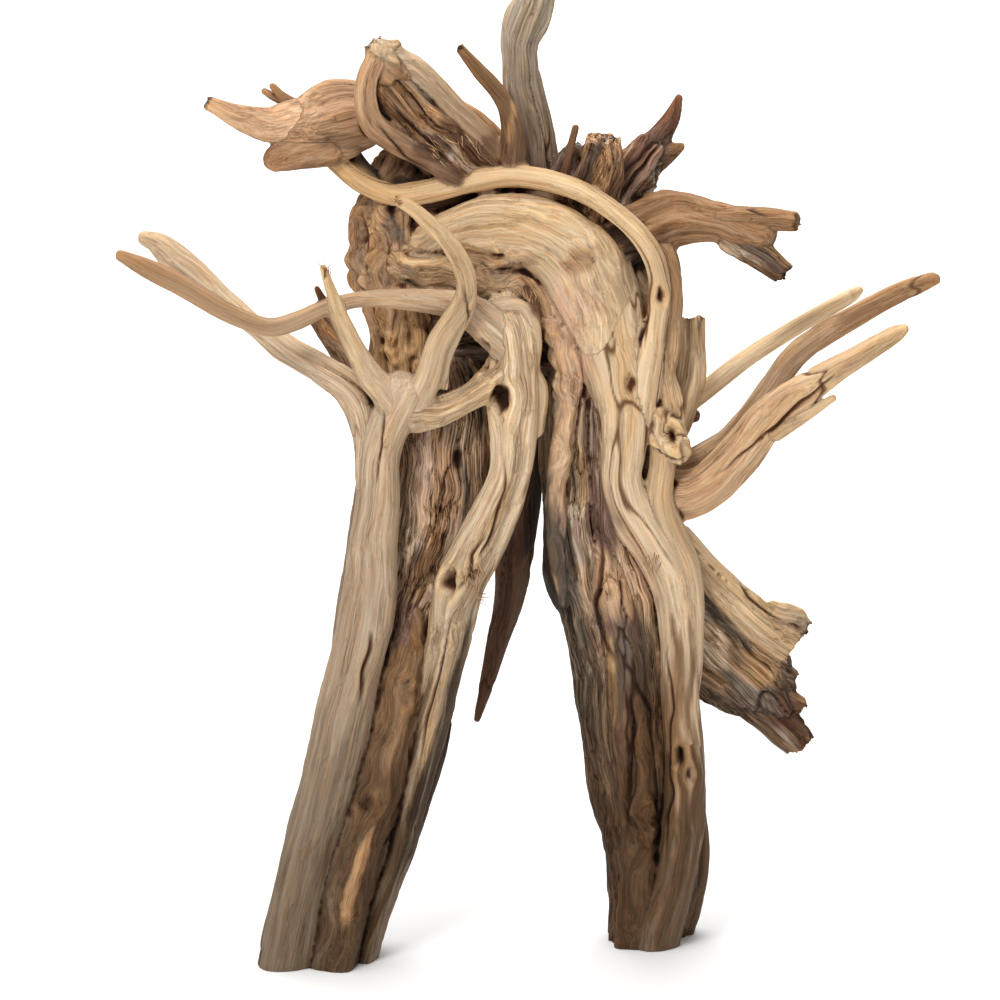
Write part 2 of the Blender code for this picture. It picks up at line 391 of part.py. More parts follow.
def fused_skin(mesh):
    """Fuse overlapping tubes with a voxel remesh, smooth the joints, and keep the outer skin alone,
    because pockets that the roots close off inside would be sealed hollows."""
    roots = bpy.data.objects.new("fused_roots", mesh)
    bpy.context.scene.collection.objects.link(roots)
    remesh = roots.modifiers.new("fuse", "REMESH")
    remesh.mode = "VOXEL"
    remesh.voxel_size = SKIN_VOXEL
    smooth = roots.modifiers.new("soften", "SMOOTH")
    smooth.factor = 0.5
    smooth.iterations = SKIN_SMOOTHING
    graph = bpy.context.evaluated_depsgraph_get()
    skin = bpy.data.meshes.new_from_object(roots.evaluated_get(graph))
    bpy.data.objects.remove(roots)

    work = bmesh.new()
    work.from_mesh(skin)
    unseen = set(work.verts)
    shells = []
    while unseen:
        shell, edge_of_search = set(), [unseen.pop()]
        while edge_of_search:
            vertex = edge_of_search.pop()
            shell.add(vertex)
            for edge in vertex.link_edges:
                other = edge.other_vert(vertex)
                if other in unseen:
                    unseen.remove(other)
                    edge_of_search.append(other)
        shells.append(shell)
    shells.sort(key=len)
    pockets = [vertex for shell in shells[:-1] for vertex in shell]
    bmesh.ops.delete(work, geom=pockets, context="VERTS")
    work.to_mesh(skin)
    work.free()
    return skin


def wood_material():
    material = bpy.data.materials.new("weathered_wood")
    material.use_nodes = True
    shader = material.node_tree.nodes["Principled BSDF"]
    shader.inputs["Base Color"].default_value = WOOD_COLOUR
    shader.inputs["Roughness"].default_value = WOOD_ROUGHNESS
    shader.inputs["Metallic"].default_value = 0.0
    return material


def cutter(name, mesh, collection):
    shape = bpy.data.objects.new(name, mesh)
    shape.hide_render = True
    shape.display_type = "WIRE"
    collection.objects.link(shape)
    return shape


def ground_block():
    """A block under the soles, wider and deeper than the wood, with its top face at the soles."""
    mesh = bpy.data.meshes.new("ground_block")
    work = bmesh.new()
    bmesh.ops.create_cube(work, size=BLOCK_SIDE)
    bmesh.ops.translate(work, verts=work.verts, vec=(0.0, 0.0, SOLE_CUT - BLOCK_SIDE / 2))
    work.to_mesh(mesh)
    work.free()
    return mesh


def build():
    for leftover in list(bpy.data.objects):
        bpy.data.objects.remove(leftover)
    parts = bpy.data.collections.new("driftwood_part")
    cutters = bpy.data.collections.new("cutters")
    bpy.context.scene.collection.children.link(parts)
    bpy.context.scene.collection.children.link(cutters)

    tubes = [loft(route, flutes, depth, end) for flutes, depth, end, route in ROOTS.values()]
    skin = fused_skin(joined_mesh("roots", tubes))
    wood = bpy.data.objects.new("driftwood", skin)
    wood.data.materials.append(wood_material())
    parts.objects.link(wood)

    fewer = wood.modifiers.new("fewer_faces", "DECIMATE")
    fewer.decimate_type = "COLLAPSE"
    fewer.ratio = FACE_SHARE
    hollow_tubes = [loft(route, HOLLOW_FLUTES, 0.0, "round") for route in HOLLOWS.values()]
    hollows = cutter("hollows", joined_mesh("hollows", hollow_tubes), cutters)
    for name, tool in (("cut_hollows", hollows), ("cut_soles", cutter("ground", ground_block(), cutters))):
        cut = wood.modifiers.new(name, "BOOLEAN")
        cut.operation = "DIFFERENCE"
        cut.solver = "EXACT"
        cut.object = tool


build()
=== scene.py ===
"""Dresses the piece of driftwood: one skin of old roots grown together, with its grain, cracks, knots,
broken ends and weathered colours.

The roots are lofts along the same routes as in the part's source. A voxel remesh fuses them, each point of
the fused skin takes its grain, tone and relief from the nearest root, and the skin is then carved along
the grain. The finished skin is split by level and upright planes into closed pieces.
"""
import math

import bmesh
import bpy
import numpy as np
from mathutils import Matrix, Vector


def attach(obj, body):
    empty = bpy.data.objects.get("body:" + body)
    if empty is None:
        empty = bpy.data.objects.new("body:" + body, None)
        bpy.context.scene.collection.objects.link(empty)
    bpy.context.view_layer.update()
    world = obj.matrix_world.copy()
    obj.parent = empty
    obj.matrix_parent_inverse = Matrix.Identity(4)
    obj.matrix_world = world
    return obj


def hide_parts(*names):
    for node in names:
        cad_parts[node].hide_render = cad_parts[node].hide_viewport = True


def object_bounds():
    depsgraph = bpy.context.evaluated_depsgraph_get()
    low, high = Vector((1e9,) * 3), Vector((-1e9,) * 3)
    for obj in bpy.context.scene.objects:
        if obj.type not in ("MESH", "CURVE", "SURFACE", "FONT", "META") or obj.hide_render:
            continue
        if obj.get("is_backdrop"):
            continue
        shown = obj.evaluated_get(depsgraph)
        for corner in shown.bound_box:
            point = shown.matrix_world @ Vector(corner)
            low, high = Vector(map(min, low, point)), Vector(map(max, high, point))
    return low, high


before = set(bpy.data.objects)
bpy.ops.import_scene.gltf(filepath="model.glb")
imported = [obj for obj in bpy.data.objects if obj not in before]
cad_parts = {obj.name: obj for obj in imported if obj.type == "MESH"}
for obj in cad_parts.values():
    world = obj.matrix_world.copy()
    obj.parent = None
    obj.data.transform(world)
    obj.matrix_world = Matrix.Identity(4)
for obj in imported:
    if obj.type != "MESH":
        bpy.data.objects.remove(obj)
cad_low, cad_high = (np.array(corner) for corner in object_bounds())

MM = 0.001
VIEW_TILT = math.radians(12.0)          # how far the plane of the routes leans back
CENTRE_RIGHT = 17.6                     # where the middle of the wood lies on that plane, in millimetres
CENTRE_BACK = 26.0
RING_SPACING = 1.6 * MM
SECTION_POINTS = 64
SKIN_VOXEL = 1.2 * MM
SKIN_SMOOTHING = 3
TOOTH_COUNT = 7                         # splinters round the rim of a broken end
FINE_TOOTH_COUNT = 12                   # splinters inside it
TOOTH_LENGTH = 7.0 * MM
TWIST = 9.0                             # turn of the flutes along a root, in radians a metre
WOBBLE = 0.06                           # share of the radius by which a root swells and shrinks unevenly
SLOW_WAVE = 22 * MM                     # length of the slow unevenness along a root
QUICK_WAVE = 11 * MM                    # length of the quicker one on top of it
QUICK_SHARE = 0.6                       # how strong the quicker one is beside the slow one
END_STEPS = (0.2, 0.4, 0.6, 0.8, 0.93, 0.99)    # places of the rings of a rounded end, from rim to pole
END_REACH = 0.8                         # how far a rounded end stands out, as a share of its radius
BROKEN_STEPS = (1.0, 0.99, 0.95, 0.86, 0.70, 0.5, 0.25)     # widths of a broken end's rings, rim to middle
BROKEN_SINK = 0.35                      # how deep the middle of a broken end lies, as a share of its radius
BROKEN_FIBRE = 1.3                      # how deep the fibres of a broken end are, in millimetres
FULL_TOOTH_RADIUS = 8 * MM              # an end this thick has splinters of TOOTH_LENGTH
FULL_RELIEF_RADIUS = 9 * MM             # a root thinner than this has shallower relief
GRAIN_SHIFT = 0.013                     # sets each root's grain off from its neighbours', in metres
CREASE_DEPTH = 1.3 * MM                 # how much deeper the creases between roots are dug

# Sizes of the patterns in the wood, in millimetres: two across the grain and one along it, or one for all
DRIFT, SWIRL, SWELLING = 22, 9, 15
LONG_RIDGES, SHORT_RIDGES = (7, 7, 110), (3.6, 3.6, 60)
WIDE_FOLDS, NARROW_FOLDS = (8, 8, 18), (4.5, 4.5, 10)
LONG_FIBRES, SHORT_FIBRES = (2.4, 2.4, 30), (1.6, 1.6, 16)
CRACKS, CRACKED_STRETCHES = (9, 9, 80), (24, 24, 90)
BURLS = (6, 6, 8.5)
STAIN_EDGE, STAIN_HAIRS = (3.5, 3.5, 40), (1.8, 1.8, 14)
COLOUR_PATCHES = (7, 7, 55)

# Colours of the wood where the light falls full on it, but for the two foot tones, which are painted shade
TONES = {
    "pale_cream": (0.7, 0.54, 0.36),
    "sand_tan": (0.58, 0.42, 0.255),
    "ochre": (0.62, 0.41, 0.21),
    "silver_tan": (0.55, 0.42, 0.29),
    # Painted shade: the two foot tones darken the lower legs towards the floor
    "shaded_foot_grey": (0.185, 0.138, 0.095),
    "shaded_foot_brown": (0.09, 0.05, 0.024),
    "warm_brown": (0.33, 0.195, 0.105),
    "orange_tan": (0.52, 0.31, 0.16),
    "red_brown": (0.2, 0.095, 0.06),
    "mauve_brown": (0.185, 0.115, 0.095),
    "slate_grey": (0.125, 0.105, 0.086),
    "weathered_grey": (0.39, 0.33, 0.255),
    "wet_slate": (0.062, 0.055, 0.047),
    "oak_brown": (0.24, 0.14, 0.070),
    "torn_tan": (0.60, 0.41, 0.27),
    "pink_tan": (0.60, 0.40, 0.275),
    "horn_tan": (0.56, 0.36, 0.22),
    "bark_brown": (0.105, 0.056, 0.035),
    # Rot in the mottles, and painted shade in gaps, grooves and under roots
    "dark_rot_and_shade": (0.028, 0.016, 0.011),
}

# The long patches on torn wood: tone, seed of the noise and strength
MOTTLES = (("weathered_grey", 41, 0.6), ("mauve_brown", 42, 0.65), ("orange_tan", 43, 0.6),
           ("slate_grey", 45, 0.5), ("dark_rot_and_shade", 44, 0.5))

# How deep the long ridges, the burrs, the fibres and the cracks are, in millimetres
FINISHES = {
    "worn": (0.5, 0.4, 0.12, 0.7),
    "twig": (0.4, 0.3, 0.12, 0.5),
    "ribbed": (1.0, 0.6, 0.25, 1.6),
    "gnarled": (0.9, 1.7, 0.25, 1.3),
    "flowing": (0.7, 0.6, 0.15, 0.6),
    "burled": (0.7, 3.2, 0.28, 1.6),
    "fibrous": (1.6, 1.0, 0.70, 2.6),
}

# Each root: flutes round its section, their depth as a share of the radius, how its far end finishes, its
# tone at the near and the far end, its finish, and its route. A foot tone at an end is painted shade, which
# darkens the legs towards the floor. A station on a route is
# (right, up, back, half width, half depth), in millimetres on the plane that leans back.
ROOTS = {
    # The left leg: ribs side by side round a core. Two of them run on over the back of the arch.
    "left_front_rib": (3, 0.06, "round", "silver_tan", "shaded_foot_grey", "worn", [
        (-56, 342, -12, 14, 13), (-70, 306, -8, 12, 14), (-73, 276, -6, 13, 16), (-76, 246, -6, 15, 18),
        (-78, 216, -6, 16, 19), (-84, 186, -6, 16, 19), (-94, 149, -8, 17, 19), (-104, 104, -10, 17, 19),
        (-114, 67, -12, 16, 19), (-126, 17, -14, 17, 20), (-133, -16, -14, 17, 20)]),
    "left_middle_rib": (4, 0.10, "round", "oak_brown", "shaded_foot_brown", "gnarled", [
        (-50, 222, 10, 8, 8), (-53, 190, 0, 11, 11), (-60, 158, -8, 13, 13), (-73, 104, -11, 14, 16),
        (-84, 67, -13, 14, 17), (-96, 17, -16, 14, 18), (-102, -16, -17, 14, 18)]),
    "middle_root": (5, 0.09, "round", "pale_cream", "shaded_foot_grey", "ribbed", [
        (0, 394, 4, 11, 10), (7, 381, 0, 14, 12), (10, 364, -2, 13, 14), (7, 345, -3, 15, 14),
        (8, 320, -4, 14, 14), (6, 292, -5, 12, 14), (-3, 268, -6, 13, 14), (-14, 245, -7, 14, 14),
        (-24, 226, -7, 14, 14), (-29, 205, -6, 13, 14), (-33, 183, -4, 12, 14), (-41, 149, -2, 11, 14),
        (-52, 104, 0, 10, 15), (-63, 65, 2, 9, 15), (-73, 36, 2, 9, 15), (-80, 14, 2, 9, 15),
        (-87, -16, 2, 9, 15)]),
    "left_core_and_panel": (6, 0.06, "round", "torn_tan", "weathered_grey", "fibrous", [
        (-40, 360, 24, 16, 12), (-36, 345, 18, 26, 14), (-34, 320, 14, 30, 14), (-34, 290, 14, 30, 14),
        (-38, 262, 14, 26, 14), (-44, 235, 12, 20, 14), (-54, 205, 8, 14, 12), (-64, 160, 6, 20, 16),
        (-80, 100, 4, 22, 18), (-99, 30, 2, 24, 20), (-107, -16, 2, 24, 20)]),
    "inner_back_root": (5, 0.10, "round", "bark_brown", "shaded_foot_grey", "ribbed", [
        (-93, -16, 20, 11, 19), (-87, 4, 20, 11, 19), (-76, 35, 22, 11, 18), (-61, 75, 24, 12, 17),
        (-47, 120, 26, 12, 16), (-38, 170, 28, 12, 16), (-33, 215, 30, 15, 16), (-34, 255, 32, 21, 17),
        (-34, 300, 36, 21, 16), (-34, 345, 42, 19, 15), (-24, 385, 48, 18, 15), (0, 410, 54, 19, 16),
        (30, 408, 58, 19, 16), (54, 384, 61, 18, 15), (62, 345, 63, 18, 14), (62, 300, 65, 19, 14),
        (66, 245, 67, 19, 14), (75, 195, 69, 17, 14), (83, 145, 71, 15, 14), (92, 90, 74, 14, 14),
        (95, 40, 76, 13, 14), (93, -20, 78, 13, 14)]),
    "outer_back_root": (4, 0.10, "round", "shaded_foot_grey", "warm_brown", "ribbed", [
        (-127, -16, 14, 18, 20), (-121, 20, 14, 18, 20), (-112, 60, 14, 17, 19), (-103, 100, 16, 17, 18),
        (-93, 145, 18, 17, 18), (-84, 190, 20, 16, 18), (-78, 235, 22, 16, 18), (-74, 280, 24, 14, 16),
        (-70, 320, 28, 13, 14), (-66, 360, 34, 13, 13), (-60, 400, 40, 14, 14), (-42, 434, 46, 15, 15),
        (-14, 449, 50, 16, 15), (20, 449, 52, 17, 15), (52, 434, 52, 16, 15), (75, 406, 50, 15, 14),
        (85, 370, 50, 14, 14), (90, 325, 52, 13, 14), (92, 280, 54, 10, 12), (93, 245, 56, 7, 9)]),
    # The fork over the left leg
    "fork_prong": (3, 0.10, "round", "silver_tan", "sand_tan", "twig", [
        (-60, 326, -12, 11, 10), (-69, 340, -15, 9, 9), (-78, 350, -18, 8, 8), (-87, 366, -23, 6, 6),
        (-95, 385, -28, 4.5, 4.5), (-101, 402, -32, 3.2, 3.2), (-105, 414, -35, 2.2, 2.2)]),
    "fork_splinter": (3, 0.10, "round", "warm_brown", "warm_brown", "twig", [
        (-82, 356, -18, 6, 5), (-95, 376, -22, 3.6, 3.6), (-105, 394, -25, 2.8, 2.8),
        (-109, 402, -26, 2, 2)]),
    "fork_right_arm": (4, 0.12, "round", "silver_tan", "sand_tan", "gnarled", [
        (-64, 330, -10, 12, 11), (-48, 328, -12, 10, 10), (-32, 331, -13, 8, 9), (-15, 339, -11, 8, 9),
        (0, 350, -7, 10, 10), (8, 364, -2, 10, 10)]),
    "curved_branch": (3, 0.08, "broken", "silver_tan", "sand_tan", "twig", [
        (-54, 326, -13, 10, 9), (-44, 348, -18, 8, 7), (-38, 368, -23, 7, 6.5), (-31, 380, -27, 6.5, 6),
        (-23, 392, -31, 6.5, 6), (-20, 404, -34, 6, 5.5), (-24, 418, -37, 5.6, 5.2),
        (-32, 430, -39, 5.4, 5), (-42, 440, -40, 4.8, 4.4), (-51, 448, -40, 4.2, 4),
        (-61, 454, -39, 3.2, 3)]),
    "curved_branch_side": (3, 0.08, "round", "sand_tan", "silver_tan", "twig", [
        (-22, 416, -33, 3, 3), (-17, 402, -30, 3.4, 3.4), (-19, 388, -26, 3.4, 3.4), (-26, 373, -22, 3, 3),
        (-32, 358, -18, 3, 3), (-33, 343, -16, 2.4, 2.4)]),
    "head_twig": (3, 0.05, "round", "silver_tan", "sand_tan", "twig", [
        (-2, 392, -5, 4, 4), (12, 393, -8, 3, 3), (20, 384, -8, 3.2, 3.2), (22, 370, -6, 3.6, 3.6),
        (20, 354, -4, 4.5, 4.5), (23, 341, -2, 6, 6), (20, 318, -2, 6, 7)]),
    "head_prong": (3, 0.05, "round", "bark_brown", "bark_brown", "twig", [
        (22, 384, -7, 2.8, 2.8), (20, 394, -10, 2.6, 2.6), (15, 403, -12, 2.2, 2.2)]),
    # The left branches
    "left_long_branch": (3, 0.07, "round", "warm_brown", "silver_tan", "twig", [
        (-225, 421, -52, 3.5, 3.5), (-208, 413, -49, 6, 5.5), (-188, 403, -45, 6, 5.5),
        (-164, 389, -40, 6, 5.5), (-146, 381, -35, 5.5, 5.5), (-134, 379, -32, 5.5, 5),
        (-120, 383, -29, 5.5, 5), (-102, 391, -25, 5, 5), (-78, 396, -20, 5, 5), (-48, 395, -15, 7, 6),
        (-27, 392, -11, 9, 8), (-12, 384, -7, 11, 10), (4, 370, -3, 12, 12)]),
    "left_high_branch": (3, 0.10, "round", "silver_tan", "silver_tan", "ribbed", [
        (-213, 433, 34, 4.5, 4.5), (-203, 429, 31, 7, 6), (-191, 419, 28, 9, 7), (-177, 407, 24, 8.5, 7),
        (-160, 392, 18, 7, 6), (-146, 380, 14, 6, 6), (-130, 368, 9, 8, 7), (-106, 354, 3, 9, 8),
        (-87, 340, -2, 10, 9), (-79, 318, -5, 9, 9), (-79, 290, -6, 7, 9), (-80, 262, -5, 5, 8)]),
    "left_dark_stub": (5, 0.12, "broken", "bark_brown", "bark_brown", "fibrous", [
        (-66, 336, 26, 10, 10), (-81, 351, 32, 8, 8), (-95, 367, 36, 8, 7.5), (-110, 387, 39, 6, 5.5)]),
    # The column and the arch
    "knobby_column": (6, 0.12, "round", "warm_brown", "horn_tan", "burled", [
        (-60, 478, 24, 12, 12), (-65, 457, 20, 17, 16), (-67, 438, 18, 19, 18), (-66, 415, 18, 20, 19),
        (-62, 392, 18, 18, 17), (-57, 368, 18, 17, 16), (-54, 345, 18, 18, 16), (-52, 318, 20, 18, 14)]),
    "column_knob_high": (3, 0.08, "round", "warm_brown", "warm_brown", "burled", [
        (-68, 445, 14, 9, 9), (-78, 446, 12, 8, 8), (-82, 447, 12, 5, 5)]),
    "column_knob_low": (3, 0.08, "round", "warm_brown", "horn_tan", "burled", [
        (-66, 406, 14, 10, 9), (-76, 407, 12, 8, 8), (-81, 407, 12, 5, 5)]),
    "arch": (7, 0.05, "round", "warm_brown", "sand_tan", "gnarled", [
        (-72, 426, 22, 14, 12), (-54, 430, 20, 19, 17), (-30, 430, 19, 24, 21), (-4, 432, 21, 28, 24),
        (20, 430, 24, 30, 26), (42, 419, 28, 32, 27), (56, 398, 33, 32, 27), (62, 370, 36, 30, 26),
        (62, 345, 38, 30, 26)]),
    "arch_top_ridge": (3, 0.05, "round", "sand_tan", "pale_cream", "flowing", [
        (-66, 424, 16, 8, 8), (-46, 429, 9, 11, 9), (-28, 436, 5, 14, 10), (-8, 441, 3, 17, 12),
        (14, 439, 3, 20, 13), (35, 429, 5, 23, 14), (50, 412, 7, 25, 15), (58, 393, 9, 23, 14),
        (62, 373, 10, 18, 12), (64, 352, 14, 13, 10), (66, 331, 20, 8, 8), (67, 313, 26, 5, 6)]),
    "arch_inner_ridge": (3, 0.08, "round", "sand_tan", "pink_tan", "burled", [
        (-70, 414, 16, 12, 10), (-54, 415, 9, 14, 12), (-32, 412, 7, 13, 12), (-8, 408, 7, 11, 11),
        (14, 402, 8, 9, 10), (30, 388, 9, 8, 9), (39, 364, 10, 8, 9), (40, 340, 12, 8, 9),
        (37, 306, 15, 6, 9), (33, 276, 18, 6, 9), (34, 246, 24, 5, 8), (38, 216, 32, 4, 7)]),
    # Painted shade: the heartwood behind the arch has the darkest tones, which stand for the deep shade in
    # the gaps that show it
    "heartwood": (7, 0.08, "round", "red_brown", "bark_brown", "fibrous", [
        (-50, 392, 30, 22, 16), (-20, 397, 36, 25, 18), (20, 396, 42, 27, 20), (50, 378, 44, 26, 20)]),
    "heartwood_low": (7, 0.08, "round", "dark_rot_and_shade", "bark_brown", "fibrous", [
        (-44, 362, 32, 20, 15), (-5, 366, 38, 22, 16), (30, 356, 44, 21, 17), (52, 338, 44, 22, 18)]),
    # The right leg
    "right_leg_core": (7, 0.05, "round", "sand_tan", "shaded_foot_brown", "fibrous", [
        (62, 372, 36, 30, 26), (59, 345, 38, 31, 26), (57, 306, 40, 32, 26), (62, 249, 42, 35, 27),
        (72, 216, 44, 34, 27), (78, 179, 46, 34, 27), (79, 151, 48, 34, 27), (85, 114, 50, 32, 27),
        (91, 78, 52, 29, 27), (91, 41, 54, 26, 28), (87, 12, 56, 23, 28), (85, -20, 56, 23, 28)]),
    "ochre_rib": (3, 0.06, "round", "pale_cream", "silver_tan", "worn", [
        (58, 416, 16, 20, 14), (62, 394, 12, 24, 14), (67, 366, 12, 22, 14), (75, 336, 12, 17, 14),
        (74, 306, 12, 13, 14), (73, 288, 12, 12, 14), (81, 264, 13, 13, 14), (93, 246, 15, 13, 14),
        (104, 222, 18, 12, 14), (107, 192, 20, 11, 14), (108, 156, 22, 11, 14), (111, 120, 24, 12, 15),
        (110, 84, 27, 13, 15), (104, 48, 30, 13, 16), (95, 15, 34, 14, 17), (91, -20, 34, 14, 17)]),
    "right_side_strand": (3, 0.06, "round", "sand_tan", "silver_tan", "worn", [
        (100, 322, 14, 9, 9), (98, 298, 12, 8, 9), (96, 276, 12, 8, 10), (103, 256, 14, 9, 10),
        (112, 236, 17, 8, 11), (116, 210, 22, 7, 12), (116, 178, 26, 6, 12), (114, 150, 30, 4, 10)]),
    "knotty_middle_rib": (4, 0.12, "round", "mauve_brown", "shaded_foot_brown", "gnarled", [
        (56, 276, 34, 8, 8), (62, 248, 26, 13, 11), (68, 222, 24, 15, 12), (76, 190, 24, 14, 12),
        (79, 156, 25, 13, 12), (83, 112, 27, 12, 13), (85, 70, 30, 11, 14), (82, 30, 34, 11, 14),
        (80, -20, 36, 11, 14)]),
    "right_dark_back_rib": (3, 0.08, "round", "bark_brown", "bark_brown", "ribbed", [
        (106, 140, 54, 5, 10), (115, 112, 60, 7, 12), (119, 84, 64, 7, 12), (120, 60, 66, 7, 12),
        (115, 30, 68, 7, 12), (108, 5, 70, 7, 12), (104, -20, 70, 7, 12)]),
    "right_shoulder": (3, 0.08, "round", "warm_brown", "sand_tan", "gnarled", [
        (86, 438, 26, 12, 12), (97, 423, 22, 9, 10), (102, 396, 20, 8, 10), (100, 372, 18, 8, 10),
        (96, 350, 16, 9, 10), (100, 334, 15, 9, 10), (102, 316, 15, 10, 10)]),
    "pale_lump": (3, 0.08, "round", "sand_tan", "pale_cream", "burled", [
        (94, 326, 10, 8, 8), (101, 315, 8, 11, 10), (106, 305, 9, 9, 9)]),
    "strap_root": (2, 0.05, "round", "ochre", "pale_cream", "worn", [
        (-98, 478, 2, 6, 6), (-82, 465, 0, 6, 5.5), (-63, 458, 0, 6.5, 5.5), (-42, 460, 2, 7, 5.5),
        (-18, 466, 6, 7, 5.5), (6, 469, 8, 6.5, 5.5), (30, 466, 5, 6.5, 5.5), (54, 457, 0, 6, 5.5),
        (78, 439, -4, 6, 6), (91, 421, -2, 6.5, 6), (95, 400, 2, 7, 6), (92, 376, 3, 7, 6.5),
        (89, 350, 5, 8, 7), (86, 324, 9, 7, 7)]),
    # The top: horn, cut stub, tall stub and short stubs
    "horn_limb": (5, 0.06, "round", "oak_brown", "horn_tan", "ribbed", [
        (-38, 492, 24, 13, 13), (-66, 504, 12, 15, 15), (-86, 504, 5, 21, 18), (-100, 501, 0, 24, 19),
        (-112, 498, -4, 21, 17), (-122, 496, -7, 16, 13), (-130, 495, -10, 11, 10)]),
    "horn": (3, 0.06, "broken", "horn_tan", "horn_tan", "ribbed", [
        (-106, 503, -2, 15, 12), (-124, 500, -8, 12, 11), (-138, 498, -14, 10, 9), (-155, 503, -21, 7.5, 7),
        (-166, 508, -26, 5.5, 5.5), (-173, 511, -28, 4.5, 4.5)]),
    "horn_lower_lobe": (3, 0.08, "round", "warm_brown", "warm_brown", "ribbed", [
        (-104, 489, -3, 16, 13), (-119, 484, -8, 13, 11), (-129, 480, -11, 10, 9), (-134, 478, -13, 8, 8)]),
    "horn_back_prong": (3, 0.05, "round", "bark_brown", "warm_brown", "twig", [
        (-100, 500, 12, 8, 8), (-121, 510, 22, 3.6, 3.6), (-134, 516, 28, 2.8, 2.8),
        (-141, 520, 31, 2.2, 2.2)]),
    "horn_back_splinter": (3, 0.05, "round", "bark_brown", "warm_brown", "twig", [
        (-114, 506, 18, 4.5, 4.5), (-129, 516, 22, 3, 3), (-136, 523, 24, 2.2, 2.2)]),
    "cut_stub": (7, 0.13, "round", "red_brown", "warm_brown", "fibrous", [
        (12, 450, 28, 15, 14), (-4, 464, 24, 18, 15), (-24, 481, 16, 20, 16), (-45, 499, 6, 21, 15),
        (-58, 513, -2, 19, 13), (-66, 523, -6, 16, 11)]),
    "cut_stub_rim": (3, 0.12, "round", "bark_brown", "horn_tan", "ribbed", [
        (-20, 466, 10, 8, 8), (-42, 478, -1, 7, 8), (-60, 487, -9, 7, 8), (-75, 498, -15, 7, 8),
        (-80, 512, -19, 6.5, 7), (-79, 526, -20, 6, 6.5), (-74, 537, -19, 6, 6)]),
    "cut_stub_top_rim": (3, 0.12, "round", "warm_brown", "silver_tan", "ribbed", [
        (2, 480, 16, 7, 7), (-12, 494, 9, 6, 6.5), (-26, 508, 3, 6, 6.5), (-40, 523, -4, 6, 6.5),
        (-52, 533, -9, 7, 7), (-64, 538, -13, 8, 8)]),
    "cut_stub_tip": (5, 0.16, "broken", "warm_brown", "silver_tan", "burled", [
        (-60, 530, -10, 9, 8), (-67, 537, -13, 10, 9), (-73, 543, -16, 8, 8), (-76, 547, -17, 6, 6)]),
    "root_behind_stub": (4, 0.08, "round", "orange_tan", "warm_brown", "ribbed", [
        (-27, 510, 32, 6, 6), (-14, 500, 28, 8, 8), (-2, 484, 26, 10, 9), (6, 462, 28, 12, 10)]),
    "thin_horn": (3, 0.08, "broken", "bark_brown", "oak_brown", "ribbed", [
        (8, 456, 22, 10, 9), (8, 479, 12, 8, 7), (6, 501, 4, 6, 6), (0, 516, -2, 5, 5),
        (-12, 530, -8, 4.5, 4.5), (-24, 544, -14, 3, 3)]),
    "tall_stub": (5, 0.12, "broken", "bark_brown", "weathered_grey", "ribbed", [
        (24, 448, 30, 16, 14), (21, 474, 30, 14, 12), (20, 492, 31, 12, 11), (17, 507, 33, 11, 11),
        (13, 522, 35, 11, 10), (12, 538, 38, 10, 10), (12, 550, 41, 11, 10), (16, 562, 44, 13, 10),
        (21, 574, 47, 11, 9), (24, 581, 48, 9, 8)]),
    "thin_twig": (2, 0.05, "round", "bark_brown", "bark_brown", "twig", [
        (37, 454, 24, 6, 6), (39, 472, 14, 2.8, 2.8), (42, 486, 9, 2.4, 2.4), (45, 498, 5, 2.2, 2.2)]),
    "red_stub": (5, 0.14, "broken", "warm_brown", "horn_tan", "fibrous", [
        (52, 440, 30, 14, 12), (56, 460, 20, 14, 12), (60, 478, 12, 12, 10), (61, 490, 8, 10, 8)]),
    "grey_stub": (4, 0.14, "broken", "bark_brown", "slate_grey", "fibrous", [
        (32, 440, 32, 13, 12), (37, 460, 26, 12, 11), (42, 476, 22, 9, 8), (46, 487, 20, 5, 5)]),
    "right_top_stub": (5, 0.12, "round", "dark_rot_and_shade", "red_brown", "fibrous", [
        (64, 448, 34, 14, 12), (80, 474, 40, 13, 10), (91, 487, 45, 10, 8)]),
    "right_top_stub_high_tip": (3, 0.10, "round", "bark_brown", "red_brown", "fibrous", [
        (85, 480, 42, 9, 7), (96, 496, 48, 6.5, 5.5), (103, 507, 52, 5, 4), (107, 517, 56, 2.4, 2.4)]),
    "right_top_stub_low_tip": (3, 0.10, "round", "bark_brown", "warm_brown", "fibrous", [
        (85, 476, 42, 9, 6), (100, 484, 47, 6, 5), (109, 488, 50, 2.4, 2.4)]),
    "right_top_branch": (5, 0.08, "round", "oak_brown", "warm_brown", "ribbed", [
        (70, 430, 30, 22, 18), (100, 445, 22, 17, 14), (126, 443, 12, 12, 11), (144, 437, 4, 13, 10),
        (157, 433, -1, 12, 9)]),
    "right_top_branch_high_end": (3, 0.12, "broken", "warm_brown", "warm_brown", "ribbed", [
        (134, 444, 8, 8, 8), (158, 444, -2, 7, 7), (176, 442, -9, 5.5, 5.5)]),
    "right_top_branch_low_end": (3, 0.12, "broken", "warm_brown", "bark_brown", "fibrous", [
        (138, 434, 6, 10, 8), (156, 423, -2, 8, 7), (169, 412, -7, 6.5, 6)]),
    # The right side: flat stub, three branches and a broken slab
    "flat_stub": (5, 0.12, "broken", "sand_tan", "pale_cream", "ribbed", [
        (86, 300, 36, 10, 10), (102, 315, 36, 8, 8), (109, 330, 38, 8, 8), (114, 350, 40, 9, 7),
        (115, 370, 42, 8, 6), (115, 385, 44, 8, 5)]),
    "flat_stub_knob": (3, 0.08, "round", "bark_brown", "bark_brown", "gnarled", [
        (96, 320, 46, 9, 9), (110, 326, 52, 7, 6), (117, 327, 54, 4, 4)]),
    "high_branch": (3, 0.08, "round", "pale_cream", "pale_cream", "twig", [
